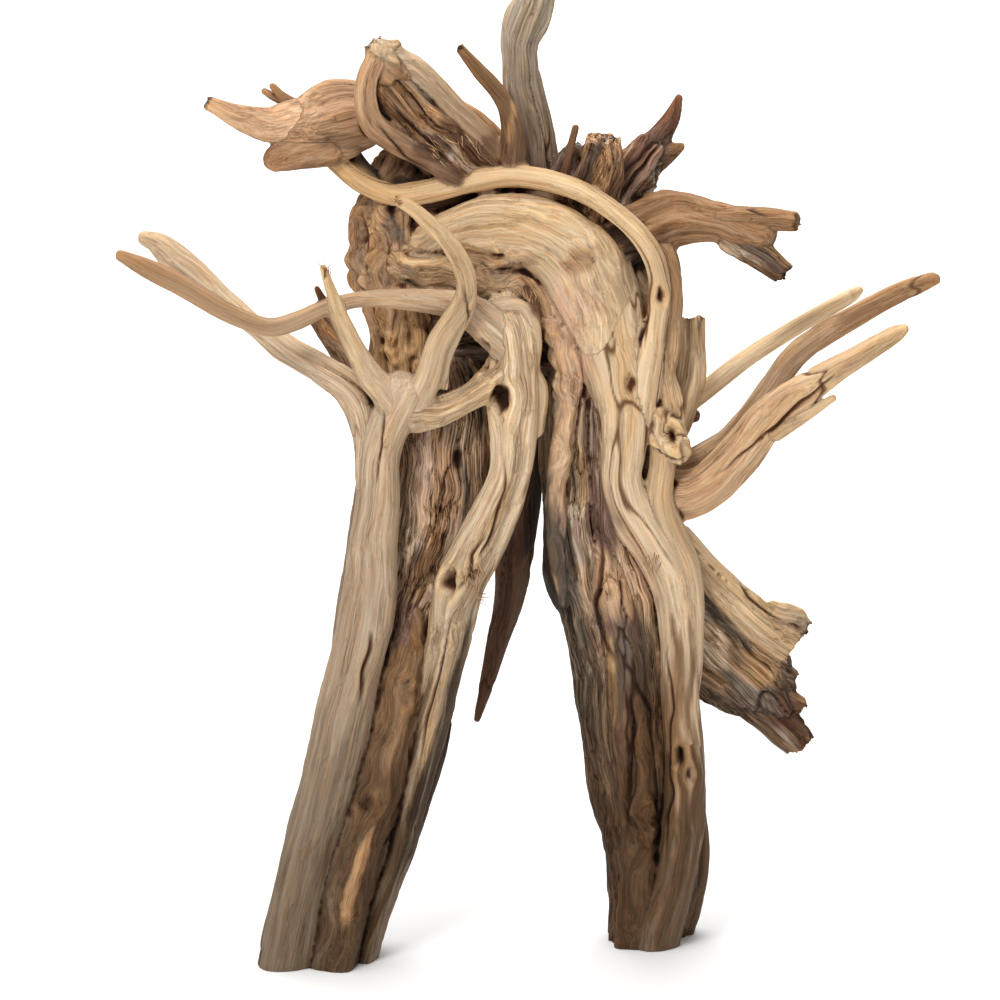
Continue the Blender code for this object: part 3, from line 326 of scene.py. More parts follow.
        (80, 314, 48, 10, 10), (103, 330, 56, 7, 7), (119, 339, 61, 6, 6), (149, 362, 70, 5.5, 5.5),
        (179, 381, 78, 5, 5), (209, 398, 86, 4.5, 4.5), (217, 403, 89, 2.6, 2.6)]),
    "middle_branch": (3, 0.12, "round", "silver_tan", "warm_brown", "ribbed", [
        (76, 280, 40, 12, 11), (101, 291, 36, 9, 9), (119, 300, 33, 9, 9), (141, 316, 30, 8, 8),
        (162, 343, 26, 7, 7), (180, 366, 23, 7, 7), (210, 385, 20, 6.5, 6), (239, 400, 17, 6, 6),
        (256, 407, 15, 4.5, 4.5), (261, 408, 15, 3, 3)]),
    "low_branch": (4, 0.10, "round", "horn_tan", "sand_tan", "ribbed", [
        (84, 280, 32, 14, 13), (106, 278, 24, 14, 12), (125, 285, 15, 13, 11), (142, 302, 6, 12, 10),
        (163, 328, -3, 10.5, 9), (190, 347, -12, 8, 8), (214, 362, -20, 6.5, 6), (234, 374, -26, 5, 5),
        (241, 378, -28, 2.6, 2.6)]),
    "low_branch_splinter": (2, 0.05, "round", "sand_tan", "sand_tan", "twig", [
        (164, 318, -3, 7, 6), (183, 327, -9, 3.6, 3.6), (199, 337, -13, 2.2, 2.2)]),
    "slab_rib": (3, 0.12, "broken", "pale_cream", "sand_tan", "ribbed", [
        (94, 264, 36, 11, 10), (114, 247, 40, 9, 9), (134, 225, 43, 10, 9), (151, 208, 47, 12, 9),
        (165, 197, 50, 13, 9), (176, 189, 52, 12, 8)]),
    "slab_rib_knob": (4, 0.16, "broken", "sand_tan", "silver_tan", "burled", [
        (164, 207, 47, 7, 7), (176, 205, 47, 6.5, 6.5), (184, 198, 48, 6, 6)]),
    "slab": (7, 0.08, "round", "weathered_grey", "slate_grey", "fibrous", [
        (88, 226, 48, 26, 14), (114, 204, 52, 31, 14), (134, 186, 55, 32, 13), (150, 171, 58, 28, 12),
        (161, 160, 60, 20, 11), (169, 150, 62, 12, 9)]),
    "slab_high_lobe": (3, 0.12, "broken", "weathered_grey", "bark_brown", "fibrous", [
        (152, 184, 57, 9, 8), (166, 175, 59, 8, 7), (177, 168, 60, 6, 6)]),
    "slab_low_lobe": (3, 0.12, "broken", "bark_brown", "warm_brown", "fibrous", [
        (156, 166, 60, 9, 8), (171, 158, 61, 7, 7), (183, 152, 62, 5, 5)]),
    "slab_tip": (4, 0.12, "broken", "bark_brown", "bark_brown", "fibrous", [
        (154, 156, 60, 12, 9), (166, 145, 62, 11, 8), (176, 135, 64, 10.5, 8), (182, 128, 65, 9, 7)]),
    "dark_spike": (4, 0.12, "round", "bark_brown", "bark_brown", "ribbed", [
        (20, 345, 50, 20, 14), (13, 300, 56, 14, 12), (9, 250, 60, 11, 10), (6, 219, 61, 8.5, 8),
        (-1, 192, 62, 6.5, 6), (-8, 165, 62, 4.4, 4.4), (-14, 143, 62, 2.2, 2.2)]),
    # Roots behind, which the front hides
    "back_high_stub": (5, 0.12, "broken", "warm_brown", "red_brown", "fibrous", [
        (4, 430, 50, 13, 13), (12, 438, 68, 11, 10), (20, 446, 84, 9, 8), (26, 452, 96, 8, 7)]),
    "back_left_root": (3, 0.10, "round", "warm_brown", "sand_tan", "twig", [
        (-36, 390, 44, 13, 12), (-50, 362, 60, 9, 9), (-62, 326, 71, 7, 7), (-70, 286, 78, 5, 5),
        (-73, 258, 82, 2.6, 2.6)]),
    "back_right_root": (3, 0.10, "round", "warm_brown", "sand_tan", "twig", [
        (66, 370, 62, 13, 12), (75, 338, 80, 9, 9), (82, 300, 93, 7, 7), (85, 262, 101, 5, 5),
        (84, 236, 105, 2.6, 2.6)]),
    # Small roots seen only in the gaps behind the strap and beside the horn's limb, painted dark as the shade
    # in those gaps
    "dark_root_behind_strap": (3, 0.10, "round", "dark_rot_and_shade", "bark_brown", "ribbed", [
        (-64, 461, 14, 11, 7), (-43, 461, 16, 13, 7), (-20, 464, 16, 11, 7)]),
    "dark_root_behind_limb": (3, 0.10, "round", "dark_rot_and_shade", "dark_rot_and_shade", "ribbed", [
        (-92, 487, 10, 5.5, 6), (-83, 475, 10, 5.5, 6), (-75, 464, 11, 6, 6)]),
}

# Stains, bare patches and patches of painted shade on the side that faces the viewer: tone, strength, then
# right, up, half width and half height in millimetres, the lean of the patch to the right in degrees, and how
# far back it starts, so that it leaves the roots in front of it alone. The patches of painted shade darken
# the lower legs, grooves and the wood under other roots, where shade falls.
ALL = -100
STAINS = {
    "grey_edge_of_right_leg": ("wet_slate", 0.92, 33, 240, 12, 60, -13, ALL),
    "dark_edge_of_right_leg": ("dark_rot_and_shade", 0.75, 25, 236, 6, 52, -13, ALL),
    "grey_side_lower": ("slate_grey", 0.8, 52, 150, 11, 50, -8, ALL),
    "dark_edge_lower": ("wet_slate", 0.85, 35, 180, 5, 42, -12, ALL),
    "mauve_strip": ("mauve_brown", 0.65, 53, 316, 6, 36, -6, ALL),
    "mauve_patch": ("mauve_brown", 0.9, 61, 266, 9, 28, -8, ALL),
    "torn_panel": ("torn_tan", 0.85, 72, 226, 22, 24, 0, 0),
    "inner_grey": ("slate_grey", 0.75, 78, 176, 17, 30, 0, 8),
    "golden_streak": ("ochre", 0.8, 67, 168, 3.5, 36, -4, ALL),
    "golden_streak_low": ("ochre", 0.6, 77, 132, 3, 22, -4, 8),
    "mauve_band": ("mauve_brown", 0.75, 74, 122, 20, 10, 0, 8),
    "maroon_stripe": ("dark_rot_and_shade", 0.95, 70, 60, 8, 64, -3, ALL),
    # Painted shade: the right leg, its rib and all three feet darker towards the floor
    "right_leg_shade": ("shaded_foot_brown", 0.72, 84, 104, 60, 84, 0, ALL),
    "rib_shade": ("oak_brown", 0.6, 106, 122, 15, 66, 0, ALL),
    "right_foot_shade": ("shaded_foot_brown", 0.85, 96, 30, 50, 100, 0, ALL),
    "left_foot_shade": ("shaded_foot_grey", 0.65, -122, 24, 40, 110, 15, ALL),
    "middle_foot_shade": ("shaded_foot_brown", 0.75, -78, 60, 22, 95, 17, ALL),
    # Painted shade along the groove beside the middle root and in the groove of the left leg
    "shaded_side_of_middle_root": ("dark_rot_and_shade", 0.72, -37, 118, 7, 88, 14.5, ALL),
    "shaded_groove_of_left_leg": ("dark_rot_and_shade", 0.6, -49, 100, 3.0, 78, 17, ALL),
    "golden_foot_streak": ("orange_tan", 0.6, -88, 44, 4, 30, 17, ALL),
    "panel_tip": ("mauve_brown", 0.85, -57, 200, 7, 14, 10, ALL),
    "panel_red": ("pink_tan", 0.6, -38, 286, 8, 32, 8, 0),
    "pale_panel": ("torn_tan", 0.7, -47, 256, 18, 48, 8, 0),
    "panel_grey": ("weathered_grey", 0.6, -54, 262, 6, 34, 6, 0),
    "gnarl_on_arch": ("warm_brown", 0.7, 50, 420, 15, 8, -15, ALL),
    "gold_on_arch": ("ochre", 0.6, 20, 440, 30, 10, -8, ALL),
    "gold_below_arch": ("ochre", 0.6, 72, 350, 9, 40, 0, ALL),
    # Painted shade on the underside of the arch's bulge
    "shaded_reddish_underside": ("red_brown", 0.45, 14, 416, 15, 4.5, -26, ALL),
    "orange_inner_edge": ("pink_tan", 0.8, 40, 370, 10, 32, -12, ALL),
    "orange_column": ("ochre", 0.85, -59, 362, 16, 30, -8, 0),
    "golden_column_knob": ("ochre", 0.5, -74, 428, 8, 16, 0, 0),
    # Painted shade in the gap under the strap
    "shade_under_strap": ("dark_rot_and_shade", 0.85, 76, 430, 8, 24, -38, 6),
    "pink_on_arch_end": ("pink_tan", 0.6, 48, 392, 16, 14, 0, ALL),
    "red_patch_on_slab": ("orange_tan", 0.75, 158, 178, 8, 17, -42, 36),
    "gold_patch_on_slab": ("ochre", 0.6, 153, 168, 3, 12, -42, 36),
    "pale_patch_on_slab": ("silver_tan", 0.8, 128, 186, 10, 17, -20, 36),
    "dark_slab_end": ("bark_brown", 0.8, 181, 146, 12, 24, -30, 36),
    # Painted shade under the slab's rib
    "shade_under_slab_rib": ("dark_rot_and_shade", 0.75, 124, 214, 4, 30, -45, 38),
    # Painted shade under the low rim of the cut stub
    "shaded_base_of_stub": ("bark_brown", 0.88, -38, 487, 20, 8.5, -38, ALL),
    "dark_root_of_stub": ("bark_brown", 0.7, -8, 486, 9, 7, -38, 0),
    # Painted shade in the narrow slot above the left long branch
    "shade_in_slot_above_left_branch": ("dark_rot_and_shade", 0.95, -43, 406, 18, 3.4, 0, 0),
    "grey_on_column": ("slate_grey", 0.7, -62, 438, 6, 9, -30, 0),
    "gold_on_column": ("horn_tan", 0.7, -60, 420, 12, 8, -20, 0),
    "dark_limb_side": ("bark_brown", 0.55, -92, 488, 22, 5, 12, ALL),
    "gold_on_thin_horn": ("orange_tan", 0.7, 6, 497, 2.6, 14, 6, ALL),
}

# Knots and holes on the side that faces the viewer: right, up, radius, depth of the hole, height of the rim
KNOTS = {
    "middle_root_hole": (-31, 226, 5, 7, 1.2),
    "head_hole_high": (-11, 362, 5, 7, 1.0),
    "head_hole_low": (1, 336, 6, 8, 1.0),
    "panel_hole": (-26, 300, 4, 6, 0.6),
    "foot_hole": (108, 122, 4, 7, 1.5),
    "middle_rib_knot_high": (-56, 161, 5, 3, 1.2),
    "middle_rib_knot_low": (-80, 92, 5, 3, 1.2),
    "shoulder_hole": (96, 398, 3, 5, 0.8),
    "arch_knot": (78, 344, 4, 3, 1.0),
    "pale_lump_hole": (103, 314, 4, 6, 1.4),
    "leg_knot_high": (84, 69, 5, -2.5, 0.5),
    "leg_knot_low": (90, 91, 4, -2.0, 0.5),
    "rib_knot": (114, 111, 3, 3, 1.0),
}

DARK_BOWL = 3.5                         # a bowl deeper than this gets painted shade inside

# Places where the wood is gnarled: right, up, radius in millimetres, and how much is added to the burrs
GNARLS = {
    "arch_shoulder": (50, 420, 17, 2.6),
    "arch_mouth": (2, 420, 14, 2.4),
    "column_foot": (-52, 420, 18, 1.6),
    "stub_tip": (-72, 540, 12, 1.5),
    "head_of_left_leg": (-6, 398, 12, 1.5),
    "below_middle_knot": (-32, 200, 12, 1.4),
    "right_root_knee": (86, 80, 14, 1.8),
    "slab_knob": (186, 196, 10, 1.6),
    "top_right_collar": (92, 466, 14, 2.4),
}

# Long open splits on the side that faces the viewer: width, depth, then the places (right, up) they run by,
# all in millimetres
SPLITS = {
    "middle_root_split": (1.3, 3.2, [(4, 303), (3, 282), (-2, 264), (-7, 249), (-12, 240)]),
    "middle_root_fray": (1.8, 3.0, [(-8, 256), (-17, 243), (-15, 231), (-26, 222)]),
    "middle_root_low_split": (1.0, 2.4, [(-27, 212), (-36, 180), (-43, 150), (-50, 118)]),
    "torn_panel_split": (1.6, 3.5, [(59, 262), (61, 240), (58, 216), (62, 194), (68, 176)]),
    "torn_panel_side_split": (1.1, 2.4, [(74, 250), (72, 226), (76, 200)]),
    "inner_wood_split": (1.2, 3.0, [(77, 166), (79, 140), (78, 108), (74, 70)]),
    "strap_split": (0.9, 2.0, [(84, 398), (85, 384), (83, 366)]),
    "stub_split": (1.2, 3.0, [(-64, 512), (-46, 493), (-28, 478)]),
    "stub_low_split": (1.0, 2.6, [(-72, 500), (-56, 480), (-40, 470)]),
    "gap_beside_left_rib": (1.5, 3.5, [(-76, 198), (-79, 180), (-84, 152)]),
    "fork_split": (0.9, 2.2, [(-70, 330), (-71, 308), (-74, 284)]),
    "curved_branch_split": (1.0, 2.4, [(-22, 404), (-18, 384), (-22, 362), (-34, 340)]),
    "low_branch_split": (1.2, 2.6, [(128, 288), (156, 311), (180, 335), (200, 352)]),
    "slab_rib_split": (1.1, 2.4, [(128, 246), (150, 218), (172, 200)]),
    "right_branch_split": (1.1, 2.4, [(110, 458), (134, 452), (160, 444)]),
    "rib_split_low": (1.0, 2.2, [(100, 190), (104, 150), (103, 104), (100, 60)]),
    "column_split": (1.5, 3.2, [(-84, 450), (-80, 434), (-84, 420), (-76, 402)]),
    "panel_split": (0.8, 2.6, [(-30, 320), (-31, 296), (-38, 268), (-46, 240)]),
}

# Loose fibres that stand out where the wood is torn: right, up, spread round that place, how many, length,
# then which way they point (right, up), in millimetres
FRAYS = {
    "beside_middle_root": (-11, 216, 4, 12, 7, 1.0, 0.15),
    "under_middle_knot": (-16, 232, 7, 22, 8, 0.2, -1.0),
    "curved_branch_foot": (-35, 338, 3, 10, 9, -0.1, -1.0),
    "curved_branch_tip": (-59, 452, 2, 8, 5, -1.0, 0.5),
    "stub_base_left": (-36, 486, 9, 16, 8, 0.8, -0.7),
    "stub_base_right": (-18, 486, 8, 18, 8, 0.5, -0.9),
    "hollow_splinter": (22, 396, 5, 12, 11, -0.3, 1.0),
    "fork_prong_tips": (-103, 410, 3, 12, 10, -0.1, 1.0),
    "torn_panel_edge": (92, 240, 5, 12, 8, 0.1, -1.0),
    "torn_panel_middle": (66, 226, 9, 20, 7, 0.0, -1.0),
    "red_stub_top": (62, 470, 6, 14, 7, -0.2, 1.0),
    "slab_edge": (170, 196, 6, 12, 6, 1.0, -0.2),
    "panel_fibres": (-42, 268, 12, 14, 7, 0.1, -1.0),
}
HAIR_RINGS = 9
HAIR_SIDES = 5
HAIR_RADIUS = 0.34 * MM
HAIR_POINTS = (0.2, 0.4)                # how far a fibre's points lie beyond its end rings, in millimetres

# Where the skin is split. Each piece: lowest and highest x, then lowest and highest z, in metres.
BETWEEN_LEGS = 0.004
KNEE = 0.190
HIP = 0.355
CROWN = 0.462
LEFT_EDGE = -0.118
RIGHT_EDGE = 0.090
FAR = 1.0
PIECES = {
    "left_leg_low": (-FAR, BETWEEN_LEGS, 0.0, KNEE),
    "right_leg_low": (BETWEEN_LEGS, FAR, 0.0, KNEE),
    "left_leg_high": (LEFT_EDGE, BETWEEN_LEGS, KNEE, HIP),
    "right_leg_high": (BETWEEN_LEGS, RIGHT_EDGE, KNEE, HIP),
    "left_branches": (-FAR, LEFT_EDGE, KNEE, FAR),
    "right_branches": (RIGHT_EDGE, FAR, KNEE, FAR),
    "arch_crown": (LEFT_EDGE, RIGHT_EDGE, HIP, CROWN),
    "top_stubs": (LEFT_EDGE, RIGHT_EDGE, CROWN, FAR),
}
SEAM_GRIP = 1e-5                        # an edge this near a plane belongs to its rim

# Colours of the painted shade and the weathering. The shades are multiplied into the wood's own tone: the
# hollow and deepest shades are painted shade in hollows and creases, while the rubbed pale and the dirt are
# weathering.
HOLLOW_SHADE = (0.20, 0.11, 0.065, 1)
DEEPEST_SHADE = (0.05, 0.025, 0.016, 1)
CRACK_SHADE = (0.22, 0.15, 0.11, 1)
WARM_SHADE = (1.08, 0.95, 0.84, 1)
RUBBED_PALE = (0.80, 0.66, 0.46, 1)
DIRT = (0.09, 0.055, 0.035, 1)

# Widths and lengths of the three layers of painted grain, in metres across and along it
GRAIN_LAYERS = {"wide": (0.0075, 0.16), "close": (0.0024, 0.10), "hair": (0.0011, 0.075)}

# Lamps: place, size, power and the place each is turned to
LAMPS = {
    "key": ((-0.6, -1.6, 1.8), 0.7, 31, (0, 0, 0.28)),
    "sky": ((0.0, 0.1, 2.6), 2.4, 57, (0, 0, 0.28)),
    "far_floor": ((0.0, 3.4, 3.0), 3.0, 150, (0, 3.6, 0)),
}
SKY_STRENGTH = 0.36
FLOOR_HALF = 30.0
FLOOR_DROP = 0.0004                     # how far the floor lies under the soles, so that no two faces meet
CAMERA_DISTANCE = 8.0
HALF_VIEW = 0.3                         # half of what the camera sees at that distance, in metres
AIM_UP, AIM_BACK = 276.0, 25.0          # the place it looks at, in millimetres on the plane that leans back


def unit(vectors):
    """Each vector over its own length."""
    return vectors / np.linalg.norm(vectors, axis=-1, keepdims=True)


def smoothstep(low, high, value):
    """Rise from 0 at low to 1 at high: 3 t squared less 2 t cubed, with t the share of the way."""
    t = np.clip((value - low) / (high - low), 0, 1)
    return t * t * (3 - 2 * t)


def scatter(cells, seed):
    """A fixed scatter of numbers from 0 to 1 over whole grid cells: each cell's three numbers times large
    odd numbers, mixed bit by bit."""
    mixed = (cells[:, 0] * 73856093) ^ (cells[:, 1] * 19349663) ^ (cells[:, 2] * 83492791) ^ (seed * 40503)
    mixed = ((mixed ^ (mixed >> 13)) * 1274126177) & 0x7FFFFFFF
    mixed = ((mixed ^ (mixed >> 15)) * 668265263) & 0x7FFFFFFF
    return (mixed >> 7 & 0xFFFF) / 0xFFFF


def noise(places, size, seed):
    """Smooth noise from -1 to 1. Each corner of a grid with cells of the given size (one number, or one for
    each axis) has a scattered value, and a place blends its eight corners with smoothstep weights."""
    cell = places / (np.array(size) * MM)
    base = np.floor(cell).astype(np.int64)
    share = cell - base
    share = share * share * (3 - 2 * share)
    total = np.zeros(len(places))
    for corner in range(8):
        step = np.array([corner & 1, corner >> 1 & 1, corner >> 2 & 1])
        weight = np.prod(np.where(step == 1, share, 1 - share), axis=1)
        total += weight * scatter(base + step, seed)
    return 2 * total - 1


def to_world(route):
    """Turn places on the leaning plane into world places: height is what is left of the distance up the
    plane once the distance back has taken its share."""
    right, up, back = route[:, 0], route[:, 1], route[:, 2]
    height = (up - back * math.sin(VIEW_TILT)) / math.cos(VIEW_TILT)
    return np.stack([right - CENTRE_RIGHT, back - CENTRE_BACK, height], axis=1) * MM


def to_plane(places):
    """The way back: right and up on the leaning plane, and back, in millimetres."""
    right = places[:, 0] / MM + CENTRE_RIGHT
    back = places[:, 1] / MM + CENTRE_BACK
    up = places[:, 2] / MM * math.cos(VIEW_TILT) + back * math.sin(VIEW_TILT)
    return right, up, back


def smooth_route(stations):
    """Read a Catmull-Rom curve through the stations, with rings RING_SPACING apart: each span is a cubic
    through its two ends, with the chord between their neighbours as the slope."""
    points = np.array(stations, dtype=float)
    padded = np.vstack([2 * points[0] - points[1], points, 2 * points[-1] - points[-2]])
    reach = np.linalg.norm(np.diff(points[:, :3], axis=0), axis=1).mean() * MM
    rings_per_span = max(4, round(reach / RING_SPACING))
    t = (np.arange(rings_per_span) / rings_per_span)[None, :, None]
    before, start, end, after = (padded[k:len(padded) - 3 + k, None, :] for k in range(4))
    curve = 0.5 * (2 * start + (end - before) * t
                   + (2 * before - 5 * start + 4 * end - after) * t ** 2
                   + (3 * start - before - 3 * end + after) * t ** 3)
    return np.vstack([curve.reshape(-1, points.shape[1]), points[-1]])


def torn_edge(angle, teeth, seed):
    """Splinters round a broken end: straight lines between scattered heights from 0 to 1, one for each of
    the teeth and one for the cut beside it, with the last joined to the first."""
    steps = np.arange(teeth * 2)
    cells = np.stack([steps, steps * 0, steps * 0], axis=1)
    heights = scatter(cells, seed) * np.where(steps % 2 == 0, 1.0, 0.35)
    return np.interp(angle * teeth / math.pi, np.arange(teeth * 2 + 1), np.append(heights, heights[0]))


def root_loft(flutes, flute_depth, far_end, near_tone, far_tone, finish, stations):
    """Carry a fluted oval along a route and close both ends.

    A ring's radius is 1 + flute_depth * cos(flutes * angle + twist), plus two slow waves along and round
    the root, times the half width across and the half depth front to back. A round end closes in a dome.
    A broken end has its rim pushed out in coarse and fine teeth, and its middle sunk and torn.
    Each point keeps its place in the straightened root (across, depth, distance along), its tone and the
    depths of its relief.
    """
    route = smooth_route(stations)
    centres = to_world(route)
    along = unit(np.gradient(centres, axis=0))
    depth = unit(np.array([0.0, 1.0, 0.0]) - along[:, 1:2] * along)
    across = np.cross(depth, along)
    half_width, half_depth = route[:, 3] * MM, route[:, 4] * MM
    travelled = np.concatenate([[0], np.cumsum(np.linalg.norm(np.diff(centres, axis=0), axis=1))])

    angle = np.arange(SECTION_POINTS) * 2 * math.pi / SECTION_POINTS
    reach = travelled[:, None]
    phase = 0.37 * stations[0][0] + 0.21 * stations[0][1]     # any two numbers, so that roots differ
    swell = (1 + flute_depth * np.cos(flutes * angle + reach * TWIST)
             + WOBBLE * np.sin(reach / SLOW_WAVE + phase) * np.cos(angle + phase)
             + WOBBLE * QUICK_SHARE * np.sin(reach / QUICK_WAVE + 2 * phase) * np.cos(2 * angle - phase))
    beside = half_width[:, None] * swell * np.cos(angle)
    behind = half_depth[:, None] * swell * np.sin(angle)

    near_radius = min(half_width[0], half_depth[0])
    far_radius = min(half_width[-1], half_depth[-1])
    dome = np.array(END_STEPS)
    near_scale = np.sqrt(1 - dome ** 2)[::-1, None]
    near_out = (dome * near_radius * END_REACH)[::-1, None] * np.ones(SECTION_POINTS)
    far_scale = np.sqrt(1 - dome ** 2)[:, None]
    far_out = (dome * far_radius * END_REACH)[:, None] * np.ones(SECTION_POINTS)
    near_pole, far_pole = near_radius * END_REACH, far_radius * END_REACH
    if far_end == "broken":
        tooth = TOOTH_LENGTH * min(max(far_radius / FULL_TOOTH_RADIUS, 0.5), 1.25)
        outer = tooth * torn_edge(angle, TOOTH_COUNT, int(stations[-1][0]))
        inner = tooth * torn_edge(angle, FINE_TOOTH_COUNT, int(stations[-1][1]))
        sunk = far_radius * BROKEN_SINK
        far_scale = np.array(BROKEN_STEPS)[:, None]
        far_out = np.stack([outer * 0.35, outer * 0.7, outer, outer * 0.55, inner - sunk,
                            inner * 0.6 - sunk, inner * 0.2 - sunk])
        far_pole = -sunk

    beside = np.vstack([beside[0] * near_scale, beside, beside[-1] * far_scale])
    behind = np.vstack([behind[0] * near_scale, behind, behind[-1] * far_scale])
    ends = len(near_scale), len(far_scale)
    spread = lambda values: np.concatenate([np.repeat(values[:1], ends[0], 0), values,
                                            np.repeat(values[-1:], ends[1], 0)])
    out = np.concatenate([-near_out, np.zeros((len(centres), SECTION_POINTS)), far_out])
    rings = (spread(centres)[:, None, :] + spread(across)[:, None, :] * beside[:, :, None]
             + spread(depth)[:, None, :] * behind[:, :, None] + spread(along)[:, None, :] * out[:, :, None])
    poles = np.stack([centres[0] - along[0] * near_pole, centres[-1] + along[-1] * far_pole])

    distance = spread(travelled)[:, None] + out
    grain = np.stack([beside, behind, distance + stations[0][0] * GRAIN_SHIFT], axis=-1).reshape(-1, 3)
    grain = np.vstack([grain, [0, 0, -near_pole], [0, 0, travelled[-1] + far_pole]])
    share = np.clip(distance / travelled[-1], 0, 1).reshape(-1, 1)
    share = np.vstack([share, [[0.0], [1.0]]])
    tone = np.array(TONES[near_tone]) * (1 - share) + np.array(TONES[far_tone]) * share
    relief = np.tile(np.array(FINISHES[finish]), (len(tone), 1))
    slim = np.clip(spread(np.minimum(half_width, half_depth)) / FULL_RELIEF_RADIUS, 0.3, 1.0)
    slim = np.append(np.repeat(slim, SECTION_POINTS), [slim[0], slim[-1]])
    relief *= slim[:, None]
    if far_end == "broken":
        torn = np.arange(len(tone)) >= (len(rings) - 6) * SECTION_POINTS
        relief[torn, 2] = BROKEN_FIBRE

    ring_count = len(rings)
    index = np.arange(ring_count * SECTION_POINTS).reshape(ring_count, SECTION_POINTS)
    after = np.roll(index, -1, axis=1)
    quads = np.stack([index[:-1], index[1:], after[1:], after[:-1]], axis=-1).reshape(-1, 4)
    first, last = len(tone) - 2, len(tone) - 1
    near_fan = np.stack([index[0], after[0], np.full(SECTION_POINTS, first)], axis=-1)
    far_fan = np.stack([after[-1], index[-1], np.full(SECTION_POINTS, last)], axis=-1)
    points = np.vstack([rings.reshape(-1, 3), poles])
    values = {"grain": grain, "tone": tone, "relief": relief[:, :3],
              "cracks": np.repeat(relief[:, 3:4], 3, axis=1)}
    return points, quads, np.vstack([near_fan, far_fan]), values


def mesh_of(name, points, corners, corner_counts, values):
    """Fill a mesh from whole arrays, with each set of values as a vector on its points."""
    mesh = bpy.data.meshes.new(name)
    mesh.vertices.add(len(points))
    mesh.vertices.foreach_set("co", np.ascontiguousarray(points, dtype=np.float32).ravel())
    mesh.loops.add(len(corners))
    mesh.loops.foreach_set("vertex_index", np.ascontiguousarray(corners, dtype=np.int32))
    mesh.polygons.add(len(corner_counts))
    starts = np.concatenate([[0], np.cumsum(corner_counts)[:-1]]).astype(np.int32)
    mesh.polygons.foreach_set("loop_start", starts)
    mesh.update(calc_edges=True)
    for label, value in values.items():
        layer = mesh.attributes.new(label, "FLOAT_VECTOR", "POINT")
        layer.data.foreach_set("vector", np.ascontiguousarray(value, dtype=np.float32).ravel())
    return mesh


def all_lofts():
    """Put every root's loft into one mesh."""
    points, quads, fans, values = [], [], [], {"grain": [], "tone": [], "relief": [], "cracks": []}
    start = 0
    for root in ROOTS.values():
        loft_points, loft_quads, loft_fans, loft_values = root_loft(*root)
        points.append(loft_points)
        quads.append(loft_quads + start)
        fans.append(loft_fans + start)
        start += len(loft_points)
        for label, value in loft_values.items():
            values[label].append(value)
    quads, fans = np.vstack(quads), np.vstack(fans)
    corners = np.concatenate([quads.ravel(), fans.ravel()])
    counts = np.concatenate([np.full(len(quads), 4), np.full(len(fans), 3)])
    values = {label: np.vstack(value) for label, value in values.items()}
    return mesh_of("root_lofts", np.vstack(points), corners, counts, values)


def nearest_values_tree(lofts, labels):
    """Nodes that copy the lofts' values to each point of the skin from the nearest place on the lofts."""
    tree = bpy.data.node_groups.new("nearest_root", "GeometryNodeTree")
    tree.interface.new_socket("Skin", in_out="INPUT", socket_type="NodeSocketGeometry")
    tree.interface.new_socket("Skin", in_out="OUTPUT", socket_type="NodeSocketGeometry")
    last = tree.nodes.new("NodeGroupInput").outputs["Skin"]
    source = tree.nodes.new("GeometryNodeObjectInfo")
    source.inputs["Object"].default_value = lofts
    for label in labels:
        value = tree.nodes.new("GeometryNodeInputNamedAttribute")
        value.data_type = "FLOAT_VECTOR"
        value.inputs["Name"].default_value = label
        nearest = tree.nodes.new("GeometryNodeSampleNearestSurface")
        nearest.data_type = "FLOAT_VECTOR"
        keep = tree.nodes.new("GeometryNodeStoreNamedAttribute")
        keep.data_type = "FLOAT_VECTOR"
        keep.domain = "POINT"
        keep.inputs["Name"].default_value = label
        tree.links.new(source.outputs["Geometry"], nearest.inputs["Mesh"])
        tree.links.new(value.outputs["Attribute"], nearest.inputs["Value"])
        tree.links.new(last, keep.inputs["Geometry"])
        tree.links.new(nearest.outputs["Value"], keep.inputs["Value"])
        last = keep.outputs["Geometry"]
    tree.links.new(last, tree.nodes.new("NodeGroupOutput").inputs["Skin"])
    return tree


def fused_skin():
    """Fuse the lofts with a voxel remesh, soften the joints, and take over the roots' values."""
    lofts = bpy.data.objects.new("root_lofts", all_lofts())
    bpy.context.scene.collection.objects.link(lofts)
    skin = bpy.data.objects.new("skin", lofts.data)
    bpy.context.scene.collection.objects.link(skin)
    fuse = skin.modifiers.new("fuse", "REMESH")
    fuse.mode = "VOXEL"
    fuse.voxel_size = SKIN_VOXEL
    soften = skin.modifiers.new("soften", "SMOOTH")
    soften.factor = 0.5
    soften.iterations = SKIN_SMOOTHING
    labels = ["grain", "tone", "relief", "cracks"]
    take = skin.modifiers.new("take_values", "NODES")
    take.node_group = nearest_values_tree(lofts, labels)
    graph = bpy.context.evaluated_depsgraph_get()
    mesh = bpy.data.meshes.new_from_object(skin.evaluated_get(graph))
    bpy.data.objects.remove(skin)
    bpy.data.objects.remove(lofts)
    return mesh, labels


def read_vectors(layer, count):
    """One vector for each point, read from a mesh's layer of values."""
    values = np.empty(count * 3, dtype=np.float32)
    layer.foreach_get("vector", values)
    return values.reshape(-1, 3).astype(float)


def neighbour_mean(values, edges, edge_counts):
    """Each point's mean over its neighbours: the sum along its edges over their number."""
    ends, others = np.concatenate([edges, edges[:, ::-1]]).T
    sums = [np.bincount(ends, weights=column[others], minlength=len(values)) for column in values.T]
    return np.stack(sums, axis=1) / edge_counts[:, None]


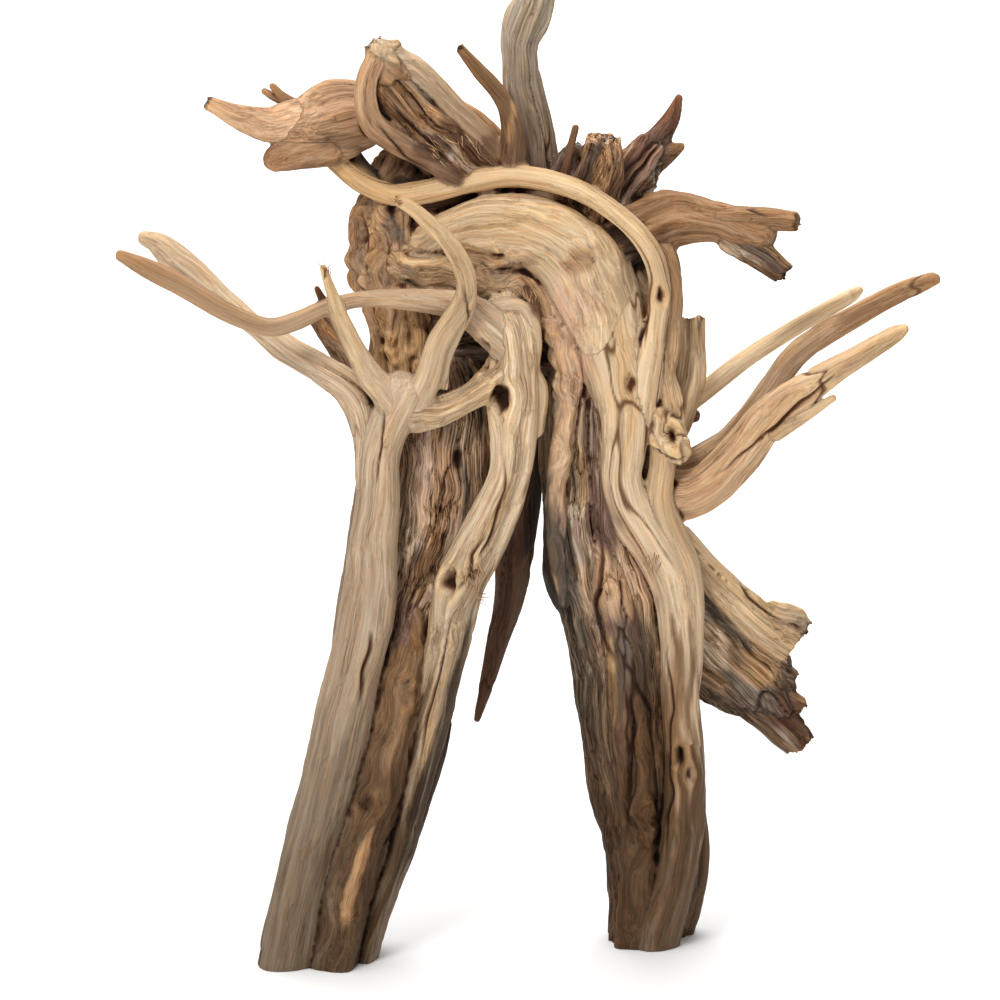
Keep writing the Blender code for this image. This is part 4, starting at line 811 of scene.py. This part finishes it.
def keep_outer_shell(points, edges):
    """Mark the points of the largest shell. Each point takes the lowest number among its neighbours, again
    and again, until every point of a shell has the same one."""
    label = np.arange(len(points))
    while True:
        before = label.copy()
        low = np.minimum(label[edges[:, 0]], label[edges[:, 1]])
        np.minimum.at(label, edges[:, 0], low)
        np.minimum.at(label, edges[:, 1], low)
        label = label[label]
        if np.array_equal(before, label):
            break
    numbers, sizes = np.unique(label, return_counts=True)
    return label == numbers[np.argmax(sizes)]


def point_normals(points, corners, starts, counts):
    """A point's normal is the sum of the crossed diagonals of the faces round it."""
    first, second = points[corners[starts]], points[corners[starts + 1]]
    third, fourth = points[corners[starts + 2]], points[corners[starts + np.minimum(counts - 1, 3)]]
    face = np.cross(third - first, fourth - second)
    spread = np.repeat(face, counts, axis=0)
    sums = [np.bincount(corners, weights=column, minlength=len(points)) for column in spread.T]
    return unit(np.stack(sums, axis=1) + 1e-12)


def crease_depth(points, normals, edges, edge_counts, reach):
    """How far each point lies below its surroundings: the step, along the normal, to the mean of the
    neighbours taken again and again."""
    soft = points
    for _ in range(reach):
        soft = neighbour_mean(soft, edges, edge_counts)
    return np.sum((soft - points) * normals, axis=1)


def blurred(value, edges, edge_counts, passes):
    """One number for each point, evened out: its neighbours' mean, taken again and again."""
    value = value[:, None]
    for _ in range(passes):
        value = neighbour_mean(value, edges, edge_counts)
    return value[:, 0]


def even_creases(points, normals, edges, edge_counts):
    """Round off the steps that the remesh leaves in the creases between roots: points that lie low move to
    their neighbours' mean, the lowest the most."""
    low = blurred(smoothstep(0.05 * MM, 0.5 * MM, crease_depth(points, normals, edges, edge_counts, 6)),
                  edges, edge_counts, 3)
    share = np.clip(low * 1.6, 0, 0.85)[:, None]
    for _ in range(10):
        points = points + share * (neighbour_mean(points, edges, edge_counts) - points)
    return points


def bend_grain_round_knots(points, grain):
    """Part the grain at each knot: near it, the distance across the grain from the knot's own grain line
    shrinks by a bell curve, so that the lines spread and run round it."""
    right, up, _ = to_plane(points)
    bent = grain.copy()
    for at_right, at_up, radius, _, _ in KNOTS.values():
        away = np.hypot(right - at_right, up - at_up)
        near = np.flatnonzero(away < radius * 6)
        front = near[points[near, 1] < points[near, 1].min() + 14 * MM] if len(near) else near
        if not len(front):
            continue
        centre = grain[front[np.argmin(away[front])]]
        beside = np.abs(grain[front, 0] - centre[0]) + np.abs(grain[front, 2] - centre[2]) < radius * 9 * MM
        front = front[beside]
        bell = np.exp(-(away[front] / (radius * 2.4)) ** 2)
        bent[front, :2] = grain[front, :2] - (grain[front, :2] - centre[:2]) * 0.8 * bell[:, None]
    return bent


def carve(points, normals, values, sink):
    """Move each point along its normal: long ridges and fibres follow the grain, burrs swell across it in
    folds with sharp creases, cracks are cut where folded noise comes to a crest, and the creases between
    roots are dug deeper."""
    grain = bend_grain_round_knots(points, values["grain"])
    relief, cracks = values["relief"], values["cracks"][:, 0]
    drift = np.stack([noise(points, DRIFT, 1), noise(points, DRIFT, 2), 2 * noise(points, DRIFT, 11)], axis=1)
    swirl = np.stack([noise(points, SWIRL, seed) for seed in (12, 13, 14)], axis=1)
    flow = grain + (drift * (0.5 + 2.2 * relief[:, 1:2]) + swirl * 0.8 * relief[:, 1:2]) * MM
    ridge = 1 - 2 * np.abs(noise(flow, LONG_RIDGES, 3))
    ridge = 0.65 * ridge + 0.35 * (1 - 2 * np.abs(noise(flow, SHORT_RIDGES, 4)))
    wrinkled = grain + (drift * 3.5 + swirl * 3.0) * MM
    folds = 0.65 * np.abs(noise(wrinkled, WIDE_FOLDS, 5)) + 0.35 * np.abs(noise(wrinkled, NARROW_FOLDS, 6))
    burr = 0.45 * noise(points, SWELLING, 15) + 1.5 * (folds - 0.32)
    fibre = 0.6 * noise(flow, LONG_FIBRES, 7) + 0.4 * noise(flow, SHORT_FIBRES, 8)
    crest = 1 - np.abs(noise(flow, CRACKS, 9))
    open_here = smoothstep(0.0, 0.5, noise(flow, CRACKED_STRETCHES, 10))
    crack = smoothstep(0.90, 1.0, crest) * open_here
    burls = np.abs(noise(wrinkled, BURLS, 16))
    height = relief[:, 0] * ridge * 0.6 + relief[:, 1] * burr + relief[:, 2] * fibre - cracks * crack
    height = height + smoothstep(2.0, 3.0, relief[:, 1]) * (3.2 * burls - 0.8)
    height = height * MM - CREASE_DEPTH * sink
    return points + normals * height[:, None], crack, flow


def cut_knots(points, normals):
    """Press a bowl into the skin at each knot and raise a ring round it. The bowl is a bell curve of the
    distance from the knot, made uneven by noise and drawn out along the grain, the ring a narrow bell round
    its edge, and both stay on the front surface."""
    right, up, back = to_plane(points)
    moved = points.copy()
    hole = np.zeros(len(points))
    facing = smoothstep(0.1, -0.3, normals[:, 1])
    ragged = noise(points, 4.5, 31) + 0.5 * noise(points, 2.2, 32)
    for at_right, at_up, radius, bowl, rim in KNOTS.values():
        away = np.hypot((right - at_right) * 1.15, (up - at_up) * 0.62) + ragged * radius * 0.3
        near = away < radius
        if not near.any():
            continue
        near_and_front = near & (normals[:, 1] < 0)
        front = back[near_and_front if near_and_front.any() else near].min()
        here = smoothstep(radius * 2.0 + 6, radius, back - front) * facing
        pressed = np.exp(-(np.abs(away) / radius) ** 3) * here
        raised = np.exp(-((away - radius * 1.35) / (radius * 0.4)) ** 2) * here
        moved += normals * ((raised * rim - pressed * bowl) * MM)[:, None]
        # Painted shade inside the deeper bowls
        if bowl > DARK_BOWL:
            hole = np.maximum(hole, np.exp(-(np.abs(away) / (radius * 0.9)) ** 4) * here)
    return moved, hole


def open_splits(points, normals, edges_of_hole):
    """Cut a ragged groove along each split. For every stretch of it, the distance of a point is measured to
    the nearest place on the stretch, made uneven by noise, and the groove's depth is a bell curve of that
    distance that fades at both ends. Only the front surface is cut."""
    right, up, back = to_plane(points)
    facing = smoothstep(0.1, -0.3, normals[:, 1])
    ragged = 2.4 * noise(points, 14, 51)
    uneven = 0.8 + 0.35 * noise(points, 9, 53)
    pressed = np.zeros(len(points))
    hole = edges_of_hole.copy()
    for width, depth, places in SPLITS.values():
        stretches = len(places) - 1
        for number, (start, end) in enumerate(zip(places, places[1:])):
            step = np.array(end) - np.array(start)
            share = ((right - start[0]) * step[0] + (up - start[1]) * step[1]) / step.dot(step)
            nearest = np.clip(share, 0, 1)
            away = np.hypot(right - start[0] - nearest * step[0], up - start[1] - nearest * step[1])
            close_by = away < width * 3 + 3
            seen = close_by & (normals[:, 1] < 0)
            if not seen.any():
                continue
            front = back[seen].min()
            along = (number + nearest) / stretches
            fade = np.sqrt(np.clip(4 * along * (1 - along), 0, 1))
            side = np.sign((right - start[0]) * step[1] - (up - start[1]) * step[0])
            bell = np.exp(-((side * away + ragged) / (width * uneven + 0.2)) ** 2) * fade
            bell = bell * facing * smoothstep(16, 9, back - front) * close_by
            pressed = np.maximum(pressed, bell * depth)
            # Painted shade along the split
            hole = np.maximum(hole, 0.95 * bell)
    return points - normals * (pressed * MM)[:, None], hole


def stained(points, normals, grain, tone):
    """Lay each stain or patch of painted shade over the tone: an oval, frayed at its edge by noise, on the
    side that faces front.
    """
    right, up, back = to_plane(points)
    facing = smoothstep(0.25, -0.15, normals[:, 1])
    fray = 0.55 * noise(grain, STAIN_EDGE, 21) + 0.25 * noise(grain, STAIN_HAIRS, 22)
    for name, strength, at_right, at_up, half_width, half_height, lean, from_back in STAINS.values():
        turn = math.radians(lean)
        sideways = (right - at_right) * math.cos(turn) - (up - at_up) * math.sin(turn)
        lengthways = (right - at_right) * math.sin(turn) + (up - at_up) * math.cos(turn)
        away = np.hypot(sideways / half_width, lengthways / half_height) + fray
        deep = smoothstep(from_back - 2, from_back + 2, back)
        share = (smoothstep(1.2, 0.6, away) * facing * deep * strength)[:, None]
        tone = tone * (1 - share) + np.array(TONES[name]) * share
    return tone


def mottled(tone, grain, fibre, burr):
    """Torn fibrous wood isn't one colour: noise drawn out along the grain leads it to other tones in long
    patches. Burled wood has half of it and smooth wood only a tenth."""
    share = np.maximum(0.1 + 0.9 * smoothstep(0.3, 0.55, fibre), 0.5 * smoothstep(2.0, 3.0, burr))
    for name, seed, strength in MOTTLES:
        patch = smoothstep(0.12, 0.45, noise(grain, COLOUR_PATCHES, seed)) * strength * share
        tone = tone * (1 - patch[:, None]) + np.array(TONES[name]) * patch[:, None]
    return tone


def arrays_of(mesh, labels):
    """Read a mesh into arrays: points, edges, face corners, each face's first corner and corner count, and
    the values on the points."""
    count = len(mesh.vertices)
    points = np.empty(count * 3, dtype=np.float32)
    mesh.vertices.foreach_get("co", points)
    points = points.reshape(-1, 3).astype(float)
    edges = np.empty(len(mesh.edges) * 2, dtype=np.int32)
    mesh.edges.foreach_get("vertices", edges)
    edges = edges.reshape(-1, 2)
    corners = np.empty(len(mesh.loops), dtype=np.int32)
    mesh.loops.foreach_get("vertex_index", corners)
    starts = np.empty(len(mesh.polygons), dtype=np.int32)
    mesh.polygons.foreach_get("loop_start", starts)
    counts = np.diff(np.append(starts, len(corners)))
    values = {label: read_vectors(mesh.attributes[label].data, count) for label in labels}
    return points, edges, corners, starts, counts, values


def gnarled(points, relief):
    """Raise the burrs at each gnarl by a bell curve of the distance from it, towards the front."""
    right, up, _ = to_plane(points)
    for at_right, at_up, radius, extra in GNARLS.values():
        bell = np.exp(-((right - at_right) ** 2 + (up - at_up) ** 2) / radius ** 2)
        relief[:, 1] += extra * bell * smoothstep(0.045, 0.015, points[:, 1])


def finished_skin():
    """The fused skin, carved and coloured, as arrays: points, face corners, corner counts and values."""
    mesh, labels = fused_skin()
    points, edges, corners, starts, counts, values = arrays_of(mesh, labels)
    bpy.data.meshes.remove(mesh)
    gnarled(points, values["relief"])

    outer = keep_outer_shell(points, edges)
    edge_counts = np.maximum(np.bincount(edges.ravel(), minlength=len(points)), 1)
    for label in ("tone", "relief", "cracks"):
        for _ in range(4):
            values[label] = 0.4 * values[label] + 0.6 * neighbour_mean(values[label], edges, edge_counts)

    normals = point_normals(points, corners, starts, counts)
    points = even_creases(points, normals, edges, edge_counts)
    normals = point_normals(points, corners, starts, counts)
    crease = blurred(crease_depth(points, normals, edges, edge_counts, 12), edges, edge_counts, 6)
    sink = smoothstep(0.08 * MM, 1.0 * MM, crease)
    points, crack, values["grain"] = carve(points, normals, values, sink)
    points, hole = cut_knots(points, normals)
    points, hole = open_splits(points, normals, hole)

    normals = point_normals(points, corners, starts, counts)
    fine = blurred(crease_depth(points, normals, edges, edge_counts, 3), edges, edge_counts, 1)
    broad = blurred(crease_depth(points, normals, edges, edge_counts, 20), edges, edge_counts, 3)
    torn = smoothstep(0.3, 0.55, values["relief"][:, 2])
    # Painted shade: the colour is darkened in fine and broad creases, between the roots, in deep knot holes,
    # in splits and in cracks
    hollow = (smoothstep(0.05 * MM, 0.45 * MM, fine) * 0.45
              + smoothstep(0.3 * MM, 2.6 * MM, broad) * (1 - 0.85 * torn) + (0.75 - 0.3 * torn) * sink)
    hollow = np.maximum(np.clip(hollow, 0, 1), np.maximum(hole, 0.7 * crack))
    proud = smoothstep(0.05 * MM, 0.4 * MM, -fine) * 0.5 + smoothstep(0.2 * MM, 1.6 * MM, -broad) * 0.5
    values["tone"] = mottled(values["tone"], values["grain"], values["relief"][:, 2], values["relief"][:, 1])
    values["tone"] = stained(points, normals, values["grain"], values["tone"])
    values["shade_and_wear"] = np.stack([hollow, proud, np.clip(values["relief"][:, 2], 0, 1)], axis=1)
    del values["relief"], values["cracks"]
    points = np.clip(points, cad_low + [0, 0, -1], cad_high)

    face_in = outer[corners[starts]]
    return points, corners[np.repeat(face_in, counts)], counts[face_in], values


def loose_fibres(points, normals):
    """Many thin fibres, each a tapering round section carried along a short curve: the root of the fibre,
    plus its way times the share of its length, plus a bend times the share squared. The first tenth lies in
    the wood, and both ends close in a point."""
    right, up, back = to_plane(points)
    front_facing = normals[:, 1] < 0
    places, ways, lengths, hues = [], [], [], []
    for number, (at_right, at_up, spread, count, length, way_right, way_up) in enumerate(FRAYS.values()):
        near = front_facing & (np.hypot(right - at_right, up - at_up) < spread)
        if not near.any():
            continue
        near = np.flatnonzero(near)
        near = near[back[near] < back[near].min() + 6]
        cells = np.stack([np.arange(count), np.full(count, number), np.zeros(count, dtype=int)], axis=1)
        pick = (scatter(cells, 61) * (len(near) - 1)).astype(int)
        aim = np.stack([way_right + 0.9 * (scatter(cells, 62) - 0.5), -0.25 - 0.5 * scatter(cells, 63),
                        way_up + 0.9 * (scatter(cells, 64) - 0.5)], axis=1)
        places.append(points[near[pick]])
        ways.append(unit(aim))
        lengths.append(length * MM * (0.5 + 0.8 * scatter(cells, 65)))
        hues.append(np.full(count, number))
    places, ways = np.vstack(places), np.vstack(ways)
    lengths, hues = np.concatenate(lengths), np.concatenate(hues)
    count = len(places)
    cells = np.stack([np.arange(count), hues, np.ones(count, dtype=int)], axis=1)
    bend = np.stack([scatter(cells, 66), scatter(cells, 67), scatter(cells, 68)], axis=1) - 0.5

    share = np.linspace(-0.1, 1.0, HAIR_RINGS)[None, :, None]
    reach = lengths[:, None, None]
    centres = (places[:, None, :] + ways[:, None, :] * share * reach
               + bend[:, None, :] * share ** 2 * reach * 0.9)
    beside = unit(np.cross(ways, [0.3, 1.0, 0.2]))
    above = np.cross(ways, beside)
    radius = HAIR_RADIUS * (1 - 0.8 * np.clip(share, 0, 1))
    turn = np.arange(HAIR_SIDES) * 2 * math.pi / HAIR_SIDES
    ring = (beside[:, None, :] * np.cos(turn)[None, :, None]
            + above[:, None, :] * np.sin(turn)[None, :, None])
    body = centres[:, :, None, :] + ring[:, None, :, :] * radius[:, :, :, None]
    root_point, tip_point = HAIR_POINTS
    tips = np.stack([centres[:, 0] - ways * root_point * MM, centres[:, -1] + ways * tip_point * MM], axis=1)
    one = HAIR_RINGS * HAIR_SIDES
    hair_points = np.concatenate([body.reshape(count, one, 3), tips], axis=1).reshape(-1, 3)

    index = np.arange(one).reshape(HAIR_RINGS, HAIR_SIDES)
    after = np.roll(index, -1, axis=1)
    quads = np.stack([index[:-1], after[:-1], after[1:], index[1:]], axis=-1).reshape(-1, 4)
    near_fan = np.stack([after[0], index[0], np.full(HAIR_SIDES, one)], axis=-1)
    far_fan = np.stack([index[-1], after[-1], np.full(HAIR_SIDES, one + 1)], axis=-1)
    fans = np.vstack([near_fan, far_fan])
    start = (np.arange(count) * (one + 2))[:, None, None]
    quads, fans = (quads[None] + start).reshape(-1, 4), (fans[None] + start).reshape(-1, 3)
    corners = np.concatenate([quads.ravel(), fans.ravel()])
    counts = np.concatenate([np.full(len(quads), 4), np.full(len(fans), 3)])
    light = np.repeat(scatter(cells, 69) ** 2, one + 2)[:, None]
    tone = np.array(TONES["oak_brown"]) * (1 - light) + np.array(TONES["sand_tan"]) * light
    grain = hair_points * [0.2, 0.2, 1.0]
    shade_and_wear = np.tile([0.0, 0.5, 0.2], (len(hair_points), 1))
    hair_points = np.clip(hair_points, cad_low, cad_high)
    return mesh_of("loose_fibres", hair_points, corners, counts, {"grain": grain, "tone": tone, "shade_and_wear": shade_and_wear})


def cut_to(work, x_low, x_high, z_low, z_high):
    """Cut off what lies outside the planes. The level cuts come first, because the skin handed in is closed
    but for its ragged top and bottom, which they take off, and the upright cuts then meet a closed body. The
    rim of each cut is closed with flat triangles and kept sharp."""
    for axis, side, place in ((2, -1, z_low), (2, 1, z_high), (0, -1, x_low), (0, 1, x_high)):
        if abs(place) >= FAR:
            continue
        outwards, on_plane = [0.0] * 3, [0.0] * 3
        outwards[axis], on_plane[axis] = float(side), place
        bmesh.ops.bisect_plane(work, geom=work.verts[:] + work.edges[:] + work.faces[:], dist=1e-7,
                               plane_co=on_plane, plane_no=outwards, clear_outer=True)
        rim = [edge for edge in work.edges if edge.is_boundary
               and all(abs(corner.co[axis] - place) < SEAM_GRIP for corner in edge.verts)]
        cut_faces = bmesh.ops.holes_fill(work, edges=rim, sides=0)["faces"]
        bmesh.ops.triangulate(work, faces=cut_faces)
        for edge in rim:
            edge.smooth = False


def build_pieces(material):
    """Make the loose fibres, then cut each piece out of the skin."""
    points, corners, counts, values = finished_skin()
    starts = np.concatenate([[0], np.cumsum(counts)[:-1]])
    fibres = loose_fibres(points, point_normals(points, corners, starts, counts))
    fibres.shade_smooth()
    fibres.materials.append(material)
    made = [bpy.data.objects.new("loose_fibres", fibres)]
    bpy.context.scene.collection.objects.link(made[0])
    for name, (x_low, x_high, z_low, z_high) in PIECES.items():
        margin = 2 * SKIN_VOXEL
        inside = (points[:, 2] > z_low - margin) & (points[:, 2] < z_high + margin)
        face_in = inside[corners[starts]]
        kept = corners[np.repeat(face_in, counts)]
        used, local = np.unique(kept, return_inverse=True)
        mesh = mesh_of(name, points[used], local, counts[face_in],
                       {label: value[used] for label, value in values.items()})
        work = bmesh.new()
        work.from_mesh(mesh)
        cut_to(work, x_low, x_high, z_low, z_high)
        work.to_mesh(mesh)
        work.free()
        mesh.shade_smooth()
        mesh.materials.append(material)
        piece = bpy.data.objects.new(name, mesh)
        bpy.context.scene.collection.objects.link(piece)
        made.append(piece)
    return made


class Tree:
    """A short way to place and join shader nodes in one tree."""

    def __init__(self, tree):
        self.tree = tree

    def add(self, kind, inputs=None, **settings):
        """Place a node, set it up, and join or set its inputs."""
        node = self.tree.nodes.new(kind)
        for setting, value in settings.items():
            setattr(node, setting, value)
        for socket, value in (inputs or {}).items():
            self.feed(node.inputs[socket], value)
        return node

    def feed(self, socket, value):
        """Join a socket to another node's output, or set it to a constant."""
        if isinstance(value, bpy.types.NodeSocket):
            self.tree.links.new(value, socket)
        else:
            socket.default_value = value

    def math(self, operation, first, second=0.0, clamp=False):
        """One sum, product or other step on two numbers."""
        node = self.add("ShaderNodeMath", {0: first, 1: second}, operation=operation, use_clamp=clamp)
        return node.outputs[0]

    def mix(self, share, first, second, blend="MIX"):
        """A blend of two colours. The node's colour inputs are numbers 6 and 7, and its output is 2."""
        node = self.add("ShaderNodeMix", data_type="RGBA", blend_type=blend)
        self.feed(node.inputs["Factor"], share)
        self.feed(node.inputs[6], first)
        self.feed(node.inputs[7], second)
        return node.outputs[2]

    def multiplied(self, first, second):
        """One colour times another."""
        return self.mix(1.0, first, second, "MULTIPLY")

    def noise(self, place, scale, detail, roughness, distortion=0.0):
        """Smooth noise from 0 to 1 at a place."""
        node = self.add("ShaderNodeTexNoise", {"Vector": place, "Scale": scale, "Detail": detail,
                                               "Roughness": roughness, "Distortion": distortion})
        return node.outputs["Fac"]

    def between(self, value, low, high, to_low=0.0, to_high=1.0):
        """A smooth rise from to_low to to_high as the value goes from low to high."""
        return self.add("ShaderNodeMapRange", {"Value": value, "From Min": low, "From Max": high,
                                               "To Min": to_low, "To Max": to_high},
                        interpolation_type="SMOOTHSTEP").outputs["Result"]


def node_group(name, inputs, outputs):
    """A shader node group with named sockets: each is (name, kind, default)."""
    tree = bpy.data.node_groups.new(name, "ShaderNodeTree")
    for label, kind, default in inputs:
        socket = tree.interface.new_socket(label, in_out="INPUT", socket_type=kind)
        if default is not None:
            socket.default_value = default
    for label, kind in outputs:
        tree.interface.new_socket(label, in_out="OUTPUT", socket_type=kind)
    nodes = Tree(tree)
    return tree, nodes, tree.nodes.new("NodeGroupInput").outputs, tree.nodes.new("NodeGroupOutput").inputs


def grain_group():
    """Streaks that run with the grain: noise on the straightened root, squeezed across and drawn out along.
    Streak is broad and soft, Fibre is fine, and Hairline is a thin dark crack where folded noise crests."""
    tree, nodes, given, result = node_group(
        "wood_grain",
        [("Grain", "NodeSocketVector", None), ("Across", "NodeSocketFloat", 0.004),
         ("Along", "NodeSocketFloat", 0.08)],
        [("Streak", "NodeSocketFloat"), ("Fibre", "NodeSocketFloat"), ("Hairline", "NodeSocketFloat")])
    across = nodes.math("DIVIDE", 1.0, given["Across"])
    along = nodes.math("DIVIDE", 1.0, given["Along"])
    squeeze = nodes.add("ShaderNodeCombineXYZ", {"X": across, "Y": across, "Z": along}).outputs[0]
    squeezed = nodes.add("ShaderNodeVectorMath", {0: given["Grain"], 1: squeeze}, operation="MULTIPLY")
    place = squeezed.outputs[0]
    folded = nodes.math("ABSOLUTE", nodes.math("SUBTRACT", nodes.noise(place, 1.7, 2.0, 0.5), 0.5))
    nodes.feed(result["Streak"], nodes.noise(place, 1.0, 3.0, 0.6, 0.4))
    nodes.feed(result["Fibre"], nodes.noise(place, 4.2, 4.0, 0.65))
    nodes.feed(result["Hairline"], nodes.between(folded, 0.012, 0.0))
    return tree


def shade_and_weathering_group():
    """Painted shade: hollows go dark and reddish where shade falls. Proud edges are rubbed pale, and small
    specks of dirt lie over all.
    """
    tree, nodes, given, result = node_group(
        "painted_shade_and_weathering",
        [("Color", "NodeSocketColor", None), ("Hollow", "NodeSocketFloat", 0.0),
         ("Proud", "NodeSocketFloat", 0.0)],
        [("Color", "NodeSocketColor"), ("Pits", "NodeSocketFloat")])
    place = nodes.add("ShaderNodeTexCoord").outputs["Object"]
    speck = nodes.noise(place, 700.0, 3.0, 0.7)
    patchy = nodes.between(nodes.noise(place, 60.0, 4.0, 0.6), 0.35, 0.65)
    dirt = nodes.math("MULTIPLY", nodes.between(speck, 0.60, 0.74), nodes.math("ADD", 0.15, patchy))
    deep = nodes.mix(nodes.between(given["Hollow"], 0.08, 0.80), (1, 1, 1, 1), HOLLOW_SHADE)
    deepest = nodes.mix(nodes.between(given["Hollow"], 0.78, 1.0), deep, DEEPEST_SHADE)
    shaded = nodes.multiplied(given["Color"], deepest)
    rubbed = nodes.mix(nodes.math("MULTIPLY", given["Proud"], 0.55), shaded, RUBBED_PALE, "SOFT_LIGHT")
    nodes.feed(result["Color"], nodes.mix(nodes.math("MULTIPLY", dirt, 0.45), rubbed, DIRT))
    nodes.feed(result["Pits"], dirt)
    return tree


def driftwood_material():
    """Weathered wood: the root's own tone, streaked along its grain, with painted shade in its hollows, and
    dark in hairline cracks.
    """
    material = bpy.data.materials.new("weathered_driftwood")
    material.use_nodes = True
    shader = material.node_tree.nodes["Principled BSDF"]
    nodes = Tree(material.node_tree)
    grain = nodes.add("ShaderNodeAttribute", attribute_name="grain").outputs["Vector"]
    tone = nodes.add("ShaderNodeAttribute", attribute_name="tone").outputs["Color"]
    shade_and_wear = nodes.add("ShaderNodeAttribute", attribute_name="shade_and_wear").outputs["Vector"]
    shade_and_wear = nodes.add("ShaderNodeSeparateXYZ", {0: shade_and_wear}).outputs
    grain_tree, shade_and_weathering_tree = grain_group(), shade_and_weathering_group()
    layers = {}
    for name, (across, along) in GRAIN_LAYERS.items():
        layer = nodes.add("ShaderNodeGroup", node_tree=grain_tree)
        for socket, value in (("Grain", grain), ("Across", across), ("Along", along)):
            nodes.feed(layer.inputs[socket], value)
        layers[name] = layer.outputs
    wide, close, hair = layers["wide"], layers["close"], layers["hair"]

    light = nodes.between(wide["Streak"], 0.3, 0.7, -0.26, 0.22)
    for streaks, darkest, lightest in ((close["Streak"], -0.26, 0.18), (hair["Streak"], -0.36, 0.20),
                                       (close["Fibre"], -0.20, 0.14)):
        light = nodes.math("ADD", light, nodes.between(streaks, 0.3, 0.7, darkest, lightest))
    coarse = nodes.math("ADD", 0.30, nodes.math("MULTIPLY", shade_and_wear["Z"], 1.5))
    light = nodes.math("ADD", nodes.math("MULTIPLY", light, coarse), 1.0)
    warm_green = nodes.math("POWER", light, 1.2)
    warm_blue = nodes.math("POWER", light, 1.45)
    grey = nodes.add("ShaderNodeCombineColor", {"Red": light, "Green": warm_green, "Blue": warm_blue})
    streaked = nodes.multiplied(tone, grey.outputs[0])
    warm = nodes.multiplied(streaked, WARM_SHADE)
    streaked = nodes.mix(nodes.between(wide["Fibre"], 0.42, 0.66), streaked, warm)
    split = nodes.between(wide["Streak"], 0.56, 0.42)
    cracks = nodes.math("MAXIMUM", nodes.math("MULTIPLY", wide["Hairline"], 0.85),
                        nodes.math("MULTIPLY", close["Hairline"], 0.65))
    cracks = nodes.math("MULTIPLY", nodes.math("MULTIPLY", cracks, split),
                        nodes.math("MULTIPLY", coarse, 1.1), clamp=True)
    streaked = nodes.mix(cracks, streaked, nodes.multiplied(streaked, CRACK_SHADE))
    shade_and_weather = nodes.add("ShaderNodeGroup", node_tree=shade_and_weathering_tree)
    for socket, value in (("Color", streaked), ("Hollow", shade_and_wear["X"]), ("Proud", shade_and_wear["Y"])):
        nodes.feed(shade_and_weather.inputs[socket], value)
    nodes.feed(shader.inputs["Base Color"], shade_and_weather.outputs["Color"])
    nodes.feed(shader.inputs["Roughness"], nodes.between(close["Fibre"], 0.3, 0.7, 0.58, 0.82))
    shader.inputs["Specular IOR Level"].default_value = 0.14

    height = nodes.math("ADD", nodes.math("MULTIPLY", close["Streak"], 0.5),
                        nodes.math("MULTIPLY", hair["Streak"], 0.45))
    height = nodes.math("SUBTRACT", height, nodes.math("MULTIPLY", cracks, 0.5))
    height = nodes.math("SUBTRACT", height, nodes.math("MULTIPLY", shade_and_weather.outputs["Pits"], 0.25))
    bump = nodes.add("ShaderNodeBump", {"Height": height, "Strength": 0.9, "Distance": 1.1 * MM})
    nodes.feed(shader.inputs["Normal"], bump.outputs["Normal"])
    return material


def set_and_turn(thing, place, aim):
    """Put a lamp or the camera in the scene at a place, looking along the aim."""
    thing.location = place
    thing.rotation_mode = "QUATERNION"
    thing.rotation_quaternion = Vector(aim).to_track_quat("-Z", "Y")
    bpy.context.scene.collection.objects.link(thing)


def stage_and_light():
    """A plain pale floor, a white sky and soft lamps above and in front."""
    floor_mesh = bpy.data.meshes.new("floor")
    half = FLOOR_HALF
    corners = [(-half, -half, 0), (half, -half, 0), (half, half, 0), (-half, half, 0)]
    floor_mesh.from_pydata(corners, [], [(0, 1, 2, 3)])
    floor = bpy.data.objects.new("floor", floor_mesh)
    floor.location = (0, 0, -FLOOR_DROP)
    bpy.context.scene.collection.objects.link(floor)
    pale = bpy.data.materials.new("pale_floor")
    pale.use_nodes = True
    shader = pale.node_tree.nodes["Principled BSDF"]
    shader.inputs["Base Color"].default_value = (0.86, 0.86, 0.85, 1)
    shader.inputs["Roughness"].default_value = 0.9
    floor_mesh.materials.append(pale)
    floor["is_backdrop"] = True

    world = bpy.data.worlds.new("studio")
    world.use_nodes = True
    background = world.node_tree.nodes["Background"]
    background.inputs["Color"].default_value = (1.0, 1.0, 1.0, 1)
    background.inputs["Strength"].default_value = SKY_STRENGTH
    bpy.context.scene.world = world

    for name, (place, size, power, aim_at) in LAMPS.items():
        data = bpy.data.lights.new(name, "AREA")
        data.shape = "SQUARE"
        data.size = size
        data.energy = power
        lamp = bpy.data.objects.new(name, data)
        set_and_turn(lamp, place, np.array(aim_at) - np.array(place))


def place_camera():
    """The camera looks along the lean of the routes' plane, a little down on the wood, from far off."""
    camera_data = bpy.data.cameras.new("camera")
    camera_data.angle = 2 * math.atan(HALF_VIEW / CAMERA_DISTANCE)
    camera_data.clip_end = 100
    camera = bpy.data.objects.new("camera", camera_data)
    target = to_world(np.array([[0.0, AIM_UP, AIM_BACK]]))[0]
    toward = np.array([0, math.cos(VIEW_TILT), -math.sin(VIEW_TILT)])
    set_and_turn(camera, target - toward * CAMERA_DISTANCE, toward)
    bpy.context.scene.camera = camera
    bpy.context.scene.view_settings.view_transform = "Standard"


for piece in build_pieces(driftwood_material()):
    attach(piece, "root")
    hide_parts("driftwood")
stage_and_light()
place_camera()
